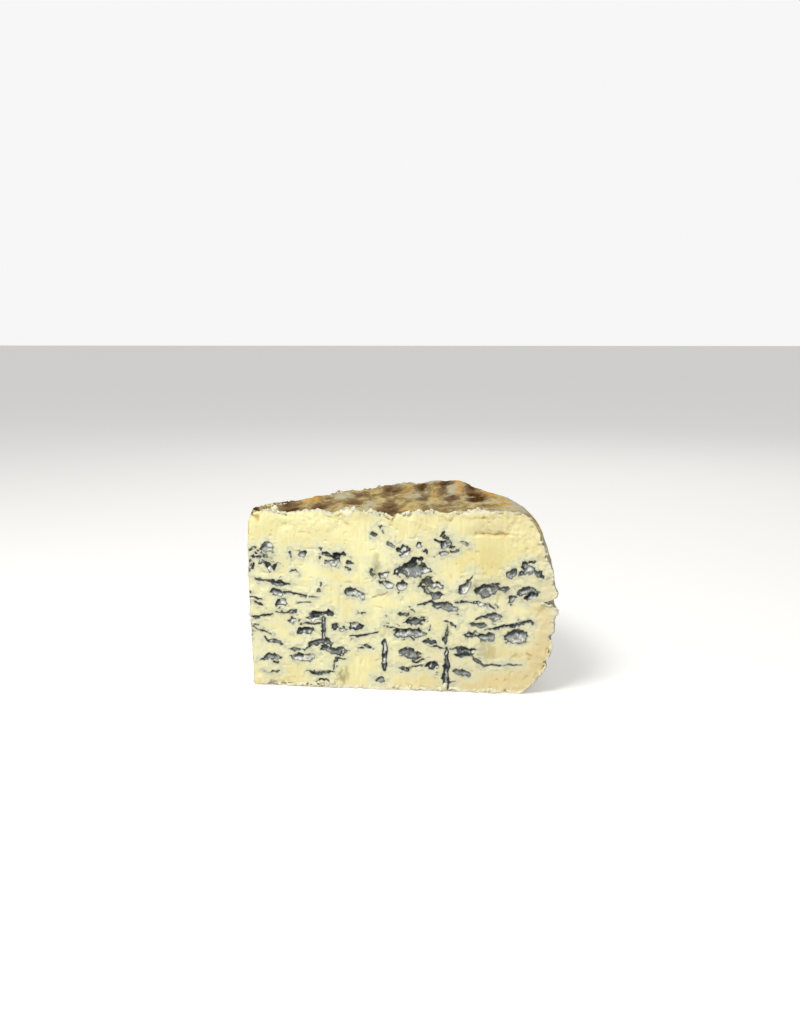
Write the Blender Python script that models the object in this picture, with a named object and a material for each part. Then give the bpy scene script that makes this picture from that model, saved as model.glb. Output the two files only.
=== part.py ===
"""Blue cheese wedge: a sector of a round, naturally rinded wheel, cut to the wheel's middle.

It stands on the wheel's flat base. The front cut runs along +X from the blunt point to the
rim and faces -Y; the back cut is turned from it by CUT_ANGLE. The origin is the middle of
the base of the bounding box. Both cuts open the mould-lined eyes and needle channels.
"""

import math
import random

import bmesh
import bpy
from mathutils import Matrix, Vector, noise

MM = 0.001

# Wheel
WHEEL_RADIUS = 146 * MM
WHEEL_HEIGHT = 86 * MM
CUT_ANGLE = math.radians(57.5)
POINT_FLAT_FROM_AXIS = 2.4 * MM

# Rim: a tall soft shoulder above a tighter foot, its crest a little over the middle of the top
SHOULDER_LIFT = 1.8 * MM
LIFT_FROM_SHARE = 0.7
SHOULDER_REACH = 22 * MM
SHOULDER_RISE = 36 * MM
FOOT_REACH = 20 * MM
FOOT_RISE = 28 * MM
RIM_SQUARENESS = 2.15
RIM_POINTS = 7
TOP_RINGS = 14
SPIN_STEPS = 22

# Rind: slow waves left by the cloth and by the wheel's own weight
TOP_WAVE = 0.9 * MM
RIM_WAVE = 0.8 * MM
WAVE_LENGTH = 26 * MM
FLAT_BASE_RISE = 12 * MM
TOP_FROM_HEIGHT = 0.99 * WHEEL_HEIGHT
RIM_WAVE_FROM = 0.8 * WHEEL_RADIUS
RIM_WAVE_FULL = 0.95 * WHEEL_RADIUS

# Eyes and channels
EYE_DEPTH = 3.2 * MM
EYE_LUMPINESS = 0.22
LUMP_WAVES = 1.6
CHANNEL_DEPTH = 1.8 * MM
CHANNEL_SEED = 40

# The back cut, which no view shows: ranges from which its eyes are drawn
BACK_EYES = 22
BACK_ALONG = (0.07 * WHEEL_RADIUS, 0.9 * WHEEL_RADIUS)
BACK_UP = (0.08 * WHEEL_HEIGHT, 0.82 * WHEEL_HEIGHT)
BACK_HALF_LENGTH = (3.4 * MM, 7.0 * MM)
BACK_HALF_HEIGHT = (1.5 * MM, 3.4 * MM)
BACK_TILT = 18.0
BACK_CLEARANCE = 1.25
BACK_LUMP_SEED = 60
RANDOM_SEED = 7

# Eyes on the front cut in millimetres and degrees:
# along the cut from the point, height, half length, half height, tilt
FRONT_EYES = [
    (77, 60, 8.0, 4.2, -4),
    (92, 71, 4.2, 4.6, 20),
    (8, 68, 3.6, 3.8, 10),
    (40, 65.5, 5.2, 2.2, -4),
    (73, 68, 3.6, 2.0, 6),
    (65, 56.5, 4.0, 2.0, 20),
    (65.5, 51.5, 4.2, 1.9, -10),
    (87, 49.5, 4.6, 2.8, -36),
    (103, 51, 3.2, 2.6, 36),
    (114, 51, 6.0, 3.0, 12),
    (131, 61, 5.6, 2.8, -32),
    (131, 50, 4.8, 2.6, 2),
    (50, 47.5, 4.4, 1.7, -14),
    (95, 42, 6.4, 1.6, -4),
    (115, 38, 4.6, 3.2, 0),
    (78, 34.5, 4.4, 1.9, 8),
    (33.5, 37.5, 4.6, 1.6, 2),
    (49, 31, 4.2, 1.5, -6),
    (26, 28.5, 4.6, 1.7, 3),
    (77, 28.5, 6.4, 2.3, -6),
    (106, 29.5, 4.2, 1.7, 4),
    (127, 28.5, 5.4, 2.9, 14),
    (41, 19, 5.2, 1.8, 0),
    (25, 14.8, 5.8, 2.1, -3),
    (77, 18.5, 4.2, 2.3, -24),
    (103, 18.6, 4.6, 1.6, 4),
    (34, 7, 5.0, 1.4, 6),
]
# Cracks and dents where the front cut meets the rim, given as the eyes are
RIM_DENTS = [
    (143.5, 44.5, 4.6, 1.5, 42),
    (145.0, 28.8, 2.6, 2.4, 0),
    (144.0, 14.5, 2.6, 1.2, 30),
]
# Needle channels on the front cut: along the cut, lower end, upper end, half width
FRONT_CHANNELS = [
    (35.2, 23.5, 32.5, 0.9),
    (64.4, 9.5, 24.5, 1.2),
    (94.0, 2.5, 21.0, 1.2),
]


def clear_scene():
    for obj in list(bpy.data.objects):
        bpy.data.objects.remove(obj, do_unlink=True)


def quarter(reach, rise, points):
    """Points of a quarter superellipse, from its foot (0, 0) out to (reach, rise)."""
    curve = []
    for step in range(points + 1):
        angle = 0.5 * math.pi * step / points
        along = math.sin(angle) ** (2 / RIM_SQUARENESS)
        up = 1 - math.cos(angle) ** (2 / RIM_SQUARENESS)
        curve.append((reach * along, rise * up))
    return curve


def crest(radius):
    """Rise of the top at a radius: nothing over the middle, SHOULDER_LIFT at the shoulder."""
    share = radius / (WHEEL_RADIUS - SHOULDER_REACH)
    t = min(1.0, max(0.0, (share - LIFT_FROM_SHARE) / (1 - LIFT_FROM_SHARE)))
    return SHOULDER_LIFT * t * t * (3 - 2 * t)


def wheel_profile():
    """Half section of the wheel as (radius, height), from the base's middle to the top's middle."""
    foot_radius = WHEEL_RADIUS - FOOT_REACH
    top_radius = WHEEL_RADIUS - SHOULDER_REACH
    foot = [(foot_radius + out, up) for out, up in quarter(FOOT_REACH, FOOT_RISE, RIM_POINTS)]
    shoulder = [
        (top_radius + out, WHEEL_HEIGHT + SHOULDER_LIFT - down)
        for out, down in reversed(quarter(SHOULDER_REACH, SHOULDER_RISE, RIM_POINTS))
    ]
    rings = [top_radius * (1 - (ring + 1) / TOP_RINGS) for ring in range(TOP_RINGS)]
    top = [(radius, WHEEL_HEIGHT + crest(radius)) for radius in rings]
    return [(0.0, 0.0)] + foot + shoulder + top


def wave(point):
    """Slow, repeatable unevenness between about -1 and 1."""
    return noise.noise(point / WAVE_LENGTH) + 0.5 * noise.noise(point * 2 / WAVE_LENGTH)


def waver(bm):
    """Lifts the top rind and pushes the rim in or out; each point stays in its own radial plane."""
    for vert in bm.verts:
        radius = math.hypot(vert.co.x, vert.co.y)
        uneven = wave(vert.co.copy())
        above_base = min(1.0, max(0.0, vert.co.z / FLAT_BASE_RISE))
        rimward = (radius - RIM_WAVE_FROM) / (RIM_WAVE_FULL - RIM_WAVE_FROM)
        rimward = min(1.0, max(0.0, rimward))
        if vert.co.z > TOP_FROM_HEIGHT:
            vert.co.z += TOP_WAVE * uneven
        if radius > 0:
            push = RIM_WAVE * uneven * above_base * rimward
            vert.co.x += push * vert.co.x / radius
            vert.co.y += push * vert.co.y / radius


def sector_mesh():
    """The wheel's section spun through the cut's angle, with both cuts and the point closed."""
    bm = bmesh.new()
    verts = [bm.verts.new((radius, 0.0, height)) for radius, height in wheel_profile()]
    edges = [bm.edges.new(pair) for pair in zip(verts, verts[1:])]
    spun = bmesh.ops.spin(
        bm,
        geom=verts + edges,
        cent=(0, 0, 0),
        axis=(0, 0, 1),
        angle=CUT_ANGLE,
        steps=SPIN_STEPS,
    )
    last = [item for item in spun["geom_last"] if isinstance(item, bmesh.types.BMVert)]
    waver(bm)
    bm.faces.new(verts)
    bm.faces.new(ordered_along_edges(last))
    bmesh.ops.remove_doubles(bm, verts=bm.verts, dist=0.001 * MM)
    cut_off_point(bm)
    bmesh.ops.recalc_face_normals(bm, faces=bm.faces)
    mesh = bpy.data.meshes.new("cheese_wedge")
    bm.to_mesh(mesh)
    bm.free()
    return mesh


def ordered_along_edges(verts):
    """The spun profile's vertices in order, starting from the one on the axis at the base."""
    members = set(verts)
    current = min(verts, key=lambda vert: (vert.co.z, math.hypot(vert.co.x, vert.co.y)))
    ordered = [current]
    while len(ordered) < len(verts):
        following = [edge.other_vert(current) for edge in current.link_edges]
        current = next(vert for vert in following if vert in members and vert not in ordered)
        ordered.append(current)
    return ordered


def cut_off_point(bm):
    """Blunts the point: a flat square to the wedge's middle line, a little out from the axis."""
    middle = Vector((math.cos(CUT_ANGLE / 2), math.sin(CUT_ANGLE / 2), 0))
    cut = bmesh.ops.bisect_plane(
        bm,
        geom=bm.verts[:] + bm.edges[:] + bm.faces[:],
        plane_co=middle * POINT_FLAT_FROM_AXIS,
        plane_no=-middle,
        clear_outer=True,
    )
    rim = [item for item in cut["geom_cut"] if isinstance(item, bmesh.types.BMEdge)]
    bmesh.ops.holes_fill(bm, edges=rim, sides=0)


def lump(bm, place, half_sizes, seed):
    """One closed lump: a sphere of three half sizes with an uneven surface, put at place."""
    ball = bmesh.ops.create_icosphere(bm, subdivisions=2, radius=1.0)["verts"]
    shift = Vector((seed * 3.7, seed * 1.9, seed * 5.3))
    for vert in ball:
        vert.co *= 1 + EYE_LUMPINESS * noise.noise(vert.co * LUMP_WAVES + shift)
    stretch = Matrix.Diagonal((*half_sizes, 1.0))
    bmesh.ops.transform(bm, matrix=place @ stretch, verts=ball)


def on_cut(cut_turn, along, height, tilt):
    """Places a cutter on a cut: X along it, Z up, Y square to it, leaned by tilt in the cut."""
    turn = Matrix.Rotation(cut_turn, 4, "Z")
    return turn @ Matrix.Translation((along, 0, height)) @ Matrix.Rotation(-tilt, 4, "Y")


def front_cutters(bm):
    point_along = POINT_FLAT_FROM_AXIS / math.cos(CUT_ANGLE / 2)
    for seed, eye in enumerate(FRONT_EYES + RIM_DENTS):
        along, height, half_length, half_height, tilt = eye
        place = on_cut(0.0, point_along + along * MM, height * MM, math.radians(tilt))
        lump(bm, place, (half_length * MM, EYE_DEPTH, half_height * MM), seed)
    for seed, (along, low, high, half_width) in enumerate(FRONT_CHANNELS):
        place = on_cut(0.0, point_along + along * MM, (low + high) / 2 * MM, 0.0)
        half_sizes = (half_width * MM, CHANNEL_DEPTH, (high - low) / 2 * MM)
        lump(bm, place, half_sizes, CHANNEL_SEED + seed)


def back_cutters(bm):
    """Eyes of the same kinds on the back cut, thrown at random and kept clear of each other."""
    rng = random.Random(RANDOM_SEED)
    taken = []
    while len(taken) < BACK_EYES:
        along = rng.uniform(*BACK_ALONG)
        height = rng.uniform(*BACK_UP)
        half_length = rng.uniform(*BACK_HALF_LENGTH)
        half_height = rng.uniform(*BACK_HALF_HEIGHT)
        gaps = [
            math.hypot((along - x) / (half_length + a), (height - z) / (half_height + b + MM))
            for x, z, a, b in taken
        ]
        if all(gap > BACK_CLEARANCE for gap in gaps):
            taken.append((along, height, half_length, half_height))
            tilt = math.radians(rng.uniform(-BACK_TILT, BACK_TILT))
            place = on_cut(CUT_ANGLE, along, height, tilt)
            half_sizes = (half_length, EYE_DEPTH, half_height)
            lump(bm, place, half_sizes, BACK_LUMP_SEED + len(taken))


def eye_cutter():
    """All eyes and channels as one mesh of separate closed lumps."""
    bm = bmesh.new()
    front_cutters(bm)
    back_cutters(bm)
    mesh = bpy.data.meshes.new("eye_cutter")
    bm.to_mesh(mesh)
    bm.free()
    cutter = bpy.data.objects.new("eye_cutter", mesh)
    bpy.context.scene.collection.objects.link(cutter)
    cutter.hide_render = True
    cutter.display_type = "WIRE"
    return cutter


def paste_material():
    material = bpy.data.materials.new("blue cheese paste")
    material.use_nodes = True
    shader = material.node_tree.nodes["Principled BSDF"]
    shader.inputs["Base Color"].default_value = (0.86, 0.79, 0.46, 1.0)
    shader.inputs["Roughness"].default_value = 0.55
    shader.inputs["Metallic"].default_value = 0.0
    return material


def build():
    clear_scene()
    mesh = sector_mesh()
    xs = [vert.co.x for vert in mesh.vertices]
    ys = [vert.co.y for vert in mesh.vertices]
    to_origin = Matrix.Translation((-(min(xs) + max(xs)) / 2, -(min(ys) + max(ys)) / 2, 0))
    wedge = bpy.data.objects.new("cheese_wedge", mesh)
    bpy.context.scene.collection.objects.link(wedge)
    mesh.materials.append(paste_material())
    cutter = eye_cutter()
    for obj in (wedge, cutter):
        obj.matrix_world = to_origin
    opening = wedge.modifiers.new("eyes", "BOOLEAN")
    opening.operation = "DIFFERENCE"
    opening.solver = "EXACT"
    opening.object = cutter


build()
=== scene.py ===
# %% [markdown]
# # A wedge of blue cheese
#
# A blue cheese is a flat wheel of pale paste in a thin, naturally grown rind. Long needles are
# pushed through it, air follows them, and blue mould lines every gap between the curds. A wedge
# shows all of that at once: two cuts full of mould-lined eyes, slits and needle channels, and a
# brown top with the print of the mat on which the wheel ripened.
#
# This lesson builds the wedge as four kinds of surface, each a formula on a grid: the front cut,
# the back cut, the rind that wraps top, rim and base, and the crumbs that cling to the edges.

import math

import bpy
import numpy as np
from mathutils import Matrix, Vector


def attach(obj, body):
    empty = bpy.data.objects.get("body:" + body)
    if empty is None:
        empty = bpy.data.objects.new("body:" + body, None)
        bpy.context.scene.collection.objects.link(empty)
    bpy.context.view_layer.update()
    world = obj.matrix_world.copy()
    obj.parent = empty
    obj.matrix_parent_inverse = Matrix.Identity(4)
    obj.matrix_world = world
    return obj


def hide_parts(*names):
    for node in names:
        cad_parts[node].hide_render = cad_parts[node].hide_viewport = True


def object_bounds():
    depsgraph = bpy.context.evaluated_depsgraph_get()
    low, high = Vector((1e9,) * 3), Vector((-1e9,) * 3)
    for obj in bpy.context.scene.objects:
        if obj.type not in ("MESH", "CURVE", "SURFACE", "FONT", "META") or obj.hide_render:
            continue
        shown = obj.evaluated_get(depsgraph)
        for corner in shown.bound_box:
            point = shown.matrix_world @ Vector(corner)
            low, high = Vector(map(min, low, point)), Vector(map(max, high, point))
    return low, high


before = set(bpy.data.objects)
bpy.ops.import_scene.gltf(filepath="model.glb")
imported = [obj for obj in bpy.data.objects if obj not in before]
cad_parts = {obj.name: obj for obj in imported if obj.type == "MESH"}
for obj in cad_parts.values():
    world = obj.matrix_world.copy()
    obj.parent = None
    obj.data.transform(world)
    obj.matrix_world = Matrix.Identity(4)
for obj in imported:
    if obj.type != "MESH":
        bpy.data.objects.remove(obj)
CAD_LOW, CAD_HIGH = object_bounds()
MM = 0.001
print("frame box in mm:", [round(side / MM, 1) for side in CAD_HIGH - CAD_LOW])

# %% [markdown]
# ## Driving sizes
#
# Everything is worked out in wheel coordinates, in millimetres: the wheel's axis stands at the
# origin, the front cut runs along +X and the back cut is turned from it by the wedge's angle.
# The point of the wedge is not sharp: a small arc joins the two cuts, tangent to both, with its
# centre on the middle plane. Only the last step moves the points into the frame.

# %% Name the driving sizes
WEDGE_ANGLE = math.radians(57.5)
HALF_ANGLE = WEDGE_ANGLE / 2
POINT_CLEARANCE = 2.4  # from the wheel's axis to the flat at the frame's point
POINT_RADIUS = 2.2
POINT_CENTRE = POINT_RADIUS / math.sin(HALF_ANGLE)
TANGENT_X = POINT_CENTRE * math.cos(HALF_ANGLE)
WHEEL_HEIGHT = 86.0
RIND_THICKNESS = 1.5
RIND_OVER_PASTE = 0.5
CUT_STEP = 0.41
RIND_STEP = 0.68

point_corner = POINT_CLEARANCE / math.cos(HALF_ANGLE) * math.cos(WEDGE_ANGLE)
AXIS = np.array([CAD_LOW.x / MM - point_corner, CAD_LOW.y / MM, 0.0])
CUT_START = point_corner + 2.0  # distances along a cut count from here, just inside the point
print("wheel axis in mm:", AXIS.round(2))


# %% [markdown]
# ## Noise
#
# Cheese has no straight line in it, so most surfaces here are pushed about by noise. Blender's own
# noise takes one point at a time. Value noise written in numpy takes the whole grid: a hash gives
# each whole-number cell a fixed number, and a smooth blend of the eight cells round a point gives
# the noise there. Being a hash and not a draw, it is the same on every run.

# %% Write the noise
def cell_value(x, y, z, seed):
    """A fixed number from -1 to 1 for each whole-number cell: its coordinates, mixed and cut to 16 bits."""
    mixed = (x * 374761393 + y * 668265263 + z * 1103515245 + seed * 1274126177) & 0xFFFFFFFF
    mixed = ((mixed ^ (mixed >> 13)) * 1274126177) & 0xFFFFFFFF
    return ((mixed ^ (mixed >> 16)) & 0xFFFF) / 32767.5 - 1.0


def noise(x, y, z, size, seed):
    """Value noise: the cells' numbers blended by t*t*(3 - 2t) along each axis, one cell being size wide."""
    size = np.broadcast_to(np.asarray(size, float), (3,))
    places = [np.asarray(axis, float) / step + 0.37 * seed for axis, step in zip((x, y, z), size)]
    places = np.broadcast_arrays(*places)
    cells = [np.floor(place).astype(np.int64) for place in places]
    blends = [(place - cell) for place, cell in zip(places, cells)]
    blends = [t * t * (3 - 2 * t) for t in blends]
    total = 0.0
    for i, j, k in np.ndindex(2, 2, 2):
        weight = 1.0
        for corner, t in zip((i, j, k), blends):
            weight = weight * (t if corner else 1 - t)
        total = total + weight * cell_value(cells[0] + i, cells[1] + j, cells[2] + k, seed)
    return total


def cloud(x, y, z, size, seed, octaves=3):
    """Noise of one size plus half as much of each half size, which looks like broken curd."""
    total = 0.0
    for octave in range(octaves):
        total = total + noise(x, y, z, np.asarray(size) / 2**octave, seed + 11 * octave) / 2**octave
    return total


def step_up(value, low, high):
    """0 below low, 1 above high, and a smooth rise between them; low may be the larger."""
    t = np.clip((value - low) / (high - low), 0, 1)
    return t * t * (3 - 2 * t)


print("noise sample:", cloud(np.arange(4.0), 0, 0, 3.0, 1).round(3))

# %% [markdown]
# ## Closed pieces from grids
#
# A finished piece must be closed and face outwards, but it is easiest to think of as several
# grids: a dense one where it shows and coarse ones where it is hidden. Each grid is a sheet.
# Corners that two sheets share are computed the same way, so rounding finds them and makes them
# one point. A quad that loses a corner becomes a triangle, so poles and seams close themselves,
# and a dense edge can be stitched to a coarse one by repeating the coarse one's points.

# %% Write the sheet and piece helpers
WORN_CORNER = (66.0, 105.0)  # in plan, where the back cut meets the rim
WORN_REACH = 19.0
WORN_DEPTH = 2.9


def sheet(points, uv_box, flip=False, **fields):
    """A grid of points with its place in the UV square and any values that vary over it."""
    return {"points": np.asarray(points, float), "uv": uv_box, "flip": flip, "fields": fields}


def sheet_quads(part):
    """Corner numbers and UVs of a sheet's quads: each cell of the grid, in order round it."""
    rows, cols = part["points"].shape[:2]
    numbers = np.arange(rows * cols).reshape(rows, cols)
    u_low, v_low, u_high, v_high = part["uv"]
    u, v = np.meshgrid(np.linspace(u_low, u_high, cols), np.linspace(v_low, v_high, rows))
    uv = np.stack([u, v], -1).reshape(-1, 2)
    around = [numbers[:-1, :-1], numbers[:-1, 1:], numbers[1:, 1:], numbers[1:, :-1]]
    quads = np.stack(around, -1).reshape(-1, 4)
    if part["flip"]:
        quads = quads[:, ::-1]
    return quads, uv[quads]


def repeat_to(coarse, count):
    """A coarse line's points repeated, evenly, until there are count of them."""
    chosen = np.round(np.linspace(0, len(coarse) - 1, count)).astype(int)
    return coarse[chosen]


def settle(points):
    """The back corner is worn down: heights sink by a bell of the distance in plan, near the top only."""
    away = np.hypot(points[:, 0] - WORN_CORNER[0], points[:, 1] - WORN_CORNER[1]) / WORN_REACH
    sunk = points.copy()
    sunk[:, 2] -= WORN_DEPTH * np.exp(-(away**2)) * step_up(points[:, 2], 55.0, 84.0)
    return sunk


def mesh_piece(name, points, quads, uv, fields, material):
    """One object from quads: points that round to the same place become one, lost corners go."""
    points = settle(points)
    keys = np.round(points * 1e4).astype(np.int64)
    _, first, place = np.unique(keys, axis=0, return_index=True, return_inverse=True)
    quads = place.reshape(-1)[quads]
    kept = quads != np.roll(quads, -1, axis=1)
    kept[quads[:, 0] == quads[:, 2]] = False
    kept[quads[:, 1] == quads[:, 3]] = False
    kept[kept.sum(1) < 3] = False
    sizes = kept.sum(1)
    sizes = sizes[sizes > 0]
    mesh = bpy.data.meshes.new(name)
    mesh.vertices.add(len(first))
    mesh.vertices.foreach_set("co", ((points[first] + AXIS) * MM).astype(np.float32).ravel())
    mesh.loops.add(int(sizes.sum()))
    mesh.loops.foreach_set("vertex_index", quads[kept].astype(np.int32))
    mesh.polygons.add(len(sizes))
    starts = np.concatenate([[0], np.cumsum(sizes)[:-1]])
    mesh.polygons.foreach_set("loop_start", starts.astype(np.int32))
    mesh.update(calc_edges=True)
    layer = mesh.uv_layers.new(name="OFBake")
    layer.data.foreach_set("uv", uv[kept].astype(np.float32).ravel())
    for field, values in fields.items():
        attribute = mesh.attributes.new(field, "FLOAT", "POINT")
        attribute.data.foreach_set("value", values[first].astype(np.float32))
    mesh.shade_smooth()
    mesh.materials.append(material)
    piece = bpy.data.objects.new(name, mesh)
    bpy.context.scene.collection.objects.link(piece)
    triangles = int((sizes - 2).sum())
    open_edges = int((np.bincount(loop_edges(mesh), minlength=len(mesh.edges)) != 2).sum())
    print(f"{name}: {len(first)} points, {triangles} triangles, {open_edges} open edges")
    return piece


def loop_edges(mesh):
    """The edge number of each face corner, for counting the faces at every edge."""
    edges = np.empty(len(mesh.loops), np.int32)
    mesh.loops.foreach_get("edge_index", edges)
    return edges


def piece_from_sheets(name, sheets, field_names, material):
    """Joins sheets into one piece; a sheet without a field gets 0 for it."""
    points, quads, uvs, offset = [], [], [], 0
    fields = {field: [] for field in field_names}
    for part in sheets:
        flat = part["points"].reshape(-1, 3)
        corner, uv = sheet_quads(part)
        points.append(flat)
        quads.append(corner + offset)
        uvs.append(uv)
        for field in field_names:
            values = np.broadcast_to(part["fields"].get(field, 0.0), part["points"].shape[:2])
            fields[field].append(values.reshape(-1))
        offset += len(flat)
    joined = {field: np.concatenate(values) for field, values in fields.items()}
    quads, uvs = np.concatenate(quads), np.concatenate(uvs)
    return mesh_piece(name, np.concatenate(points), quads, uvs, joined, material)


print("three points repeated to five:", repeat_to(np.arange(3), 5))


# %% [markdown]
# ## Camera, light and floor
#
# The camera stands a little right of the front cut's middle and looks down at it slightly. The
# light is that of a studio table: one soft lamp above and in front, left of the middle, weaker
# ones from the right and from behind, and an even white surround. At this level a colour renders
# about as it is written, so the cream of the paste keeps its yellow and nothing burns out.

# %% Place the camera
CAMERA_PLACE = (118.3, -458.1, 165.9)
LENS_MM = 34.85
SENSOR_MM = 36.0
LOOKS_DOWN = math.radians(10.0)
TURNED_LEFT = math.radians(5.8)


def row_place(along, off_cut, height):
    """A point given along the front cut, square to it and above the table, in mm, in the frame."""
    return (np.array([along + CUT_START, off_cut, height]) + AXIS) * MM


camera_data = bpy.data.cameras.new("camera")
camera_data.lens = LENS_MM
camera_data.sensor_width = SENSOR_MM
camera_data.clip_start = 0.01
camera = bpy.data.objects.new("camera", camera_data)
camera.location = row_place(*CAMERA_PLACE)
camera.rotation_euler = (math.radians(90) - LOOKS_DOWN, 0.0, TURNED_LEFT)
bpy.context.scene.collection.objects.link(camera)
bpy.context.scene.camera = camera
bpy.context.scene.view_settings.view_transform = "Standard"
print("camera in mm:", [round(value / MM, 1) for value in camera.location])


# %% Hang the lamps
def soft_lamp(name, place, aim, size, watts):
    """A square white area lamp, turned so that it faces aim."""
    data = bpy.data.lights.new(name, "AREA")
    data.size = size
    data.energy = watts
    lamp = bpy.data.objects.new(name, data)
    lamp.location = place
    lamp.rotation_euler = (Vector(aim) - Vector(place)).to_track_quat("-Z", "Y").to_euler()
    bpy.context.scene.collection.objects.link(lamp)


LAMP_AIM = (0.0, 0.0, 0.04)
# place and side in metres, and watts
LAMPS = {
    "key_lamp": ((-0.34, -0.55, 0.90), 0.34, 8.0),
    "fill_lamp": ((0.75, -0.85, 0.45), 0.9, 1.6),
    "back_lamp": ((0.15, 0.75, 0.80), 0.7, 1.8),
}
for lamp_name, (place, size, watts) in LAMPS.items():
    soft_lamp(lamp_name, place, LAMP_AIM, size, watts)
    print(lamp_name, "of", watts, "watts")


# %% Lay the floor and light the surround
def srgb(red, green, blue):
    """A colour as it looks on a screen, 0 to 255, turned into the linear one a shader takes."""
    channels = [value / 255 for value in (red, green, blue)]
    linear = [c / 12.92 if c <= 0.04045 else ((c + 0.055) / 1.055) ** 2.4 for c in channels]
    return (*linear, 1.0)


SURROUND_LIGHT = 0.40  # on the wedge
SURROUND_SEEN = 0.93  # by the camera
FLOOR_SEEN = 0.30  # added to the floor's own light, for the camera only
FLOOR_HALF = 30.0
world = bpy.data.worlds.new("surround")
world.use_nodes = True
bpy.context.scene.world = world
tree = world.node_tree
background = tree.nodes["Background"]
rays = tree.nodes.new("ShaderNodeLightPath")
level = tree.nodes.new("ShaderNodeMapRange")
level.inputs["To Min"].default_value = SURROUND_LIGHT
level.inputs["To Max"].default_value = SURROUND_SEEN
tree.links.new(rays.outputs["Is Camera Ray"], level.inputs["Value"])
tree.links.new(level.outputs["Result"], background.inputs["Strength"])
background.inputs["Color"].default_value = (1.0, 1.0, 1.0, 1.0)

floor_material = bpy.data.materials.new("pale table")
floor_material.use_nodes = True
floor_shader = floor_material.node_tree.nodes["Principled BSDF"]
floor_shader.inputs["Base Color"].default_value = srgb(228, 226, 222)
floor_shader.inputs["Roughness"].default_value = 0.7
floor_shader.inputs["Specular IOR Level"].default_value = 0.2
floor_shader.inputs["Emission Color"].default_value = (1.0, 1.0, 1.0, 1.0)
seen = floor_material.node_tree.nodes.new("ShaderNodeLightPath")
lift = floor_material.node_tree.nodes.new("ShaderNodeMath")
lift.operation = "MULTIPLY"
lift.inputs[1].default_value = FLOOR_SEEN
floor_material.node_tree.links.new(seen.outputs["Is Camera Ray"], lift.inputs[0])
floor_material.node_tree.links.new(lift.outputs["Value"], floor_shader.inputs["Emission Strength"])
floor_mesh = bpy.data.meshes.new("floor")
corner_signs = [(-1, -1), (1, -1), (1, 1), (-1, 1)]
floor_corners = [(x * FLOOR_HALF, y * FLOOR_HALF, 0.0) for x, y in corner_signs]
floor_mesh.from_pydata(floor_corners, [], [(0, 1, 2, 3)])
floor_mesh.materials.append(floor_material)
floor = bpy.data.objects.new("floor", floor_mesh)
bpy.context.scene.collection.objects.link(floor)
print("floor of", 2 * FLOOR_HALF, "m a side, surround at", SURROUND_LIGHT)

# %% [markdown]
# ## Shader helpers
#
# Each material below is a short network of the same few nodes, so small functions make and join
# them. A value that stays the same all over the surface is typed into its socket. The effects
# that several materials share are node groups with named inputs: mould, paste and grain.

# %% Write the shader helpers
def add_node(tree, kind, **settings):
    """A new node of that kind, with its properties set."""
    node = tree.nodes.new(kind)
    for name, value in settings.items():
        setattr(node, name, value)
    return node


def feed(tree, socket, value):
    """Joins an output to an input socket, or types a plain value into it."""
    if isinstance(value, bpy.types.NodeSocket):
        tree.links.new(value, socket)
    else:
        socket.default_value = value


def field_value(tree, name):
    """The value of one of the piece's own fields."""
    return add_node(tree, "ShaderNodeAttribute", attribute_name=name).outputs["Fac"]


def speckle(tree, size_mm, detail=2.0, stretch=(1.0, 1.0, 1.0), roughness=0.55):
    """Noise on Object coordinates, from 0 to 1, whose lumps are about size_mm across."""
    place = add_node(tree, "ShaderNodeTexCoord").outputs["Object"]
    mapping = add_node(tree, "ShaderNodeMapping")
    mapping.inputs["Scale"].default_value = [1000.0 / (size_mm * axis) for axis in stretch]
    tree.links.new(place, mapping.inputs["Vector"])
    node = add_node(tree, "ShaderNodeTexNoise")
    node.inputs["Scale"].default_value = 1.0
    node.inputs["Detail"].default_value = detail
    node.inputs["Roughness"].default_value = roughness
    tree.links.new(mapping.outputs["Vector"], node.inputs["Vector"])
    return node.outputs["Fac"]


def maths(tree, operation, first, second=0.0):
    """One Math node."""
    node = add_node(tree, "ShaderNodeMath", operation=operation)
    feed(tree, node.inputs[0], first)
    feed(tree, node.inputs[1], second)
    return node.outputs["Value"]


def rise(tree, value, low, high, start=0.0, end=1.0):
    """start below low, end above high, and a smooth change between them."""
    node = add_node(tree, "ShaderNodeMapRange", interpolation_type="SMOOTHSTEP")
    feed(tree, node.inputs["Value"], value)
    for socket, number in zip(("From Min", "From Max", "To Min", "To Max"), (low, high, start, end)):
        node.inputs[socket].default_value = number
    return node.outputs["Result"]


def blend(tree, share, first, second):
    """The first colour where share is 0, the second where it is 1."""
    node = add_node(tree, "ShaderNodeMix", data_type="RGBA")
    feed(tree, node.inputs["Factor"], share)
    feed(tree, node.inputs["A"], first)
    feed(tree, node.inputs["B"], second)
    return node.outputs["Result"]


def ramp(tree, value, stops):
    """A colour ramp with the given (place, colour) stops."""
    node = add_node(tree, "ShaderNodeValToRGB")
    points = node.color_ramp.elements
    while len(points) < len(stops):
        points.new(0.5)
    for point, (place, colour) in zip(points, stops):
        point.position = place
        point.color = colour
    feed(tree, node.inputs["Fac"], value)
    return node.outputs["Color"]


def new_group(name, inputs, outputs):
    """An empty node group with those sockets, given as (name, kind) pairs."""
    group = bpy.data.node_groups.new(name, "ShaderNodeTree")
    for socket, kind in inputs:
        group.interface.new_socket(socket, in_out="INPUT", socket_type=kind)
    for socket, kind in outputs:
        group.interface.new_socket(socket, in_out="OUTPUT", socket_type=kind)
    return group, group.nodes.new("NodeGroupInput").outputs, group.nodes.new("NodeGroupOutput").inputs


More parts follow.
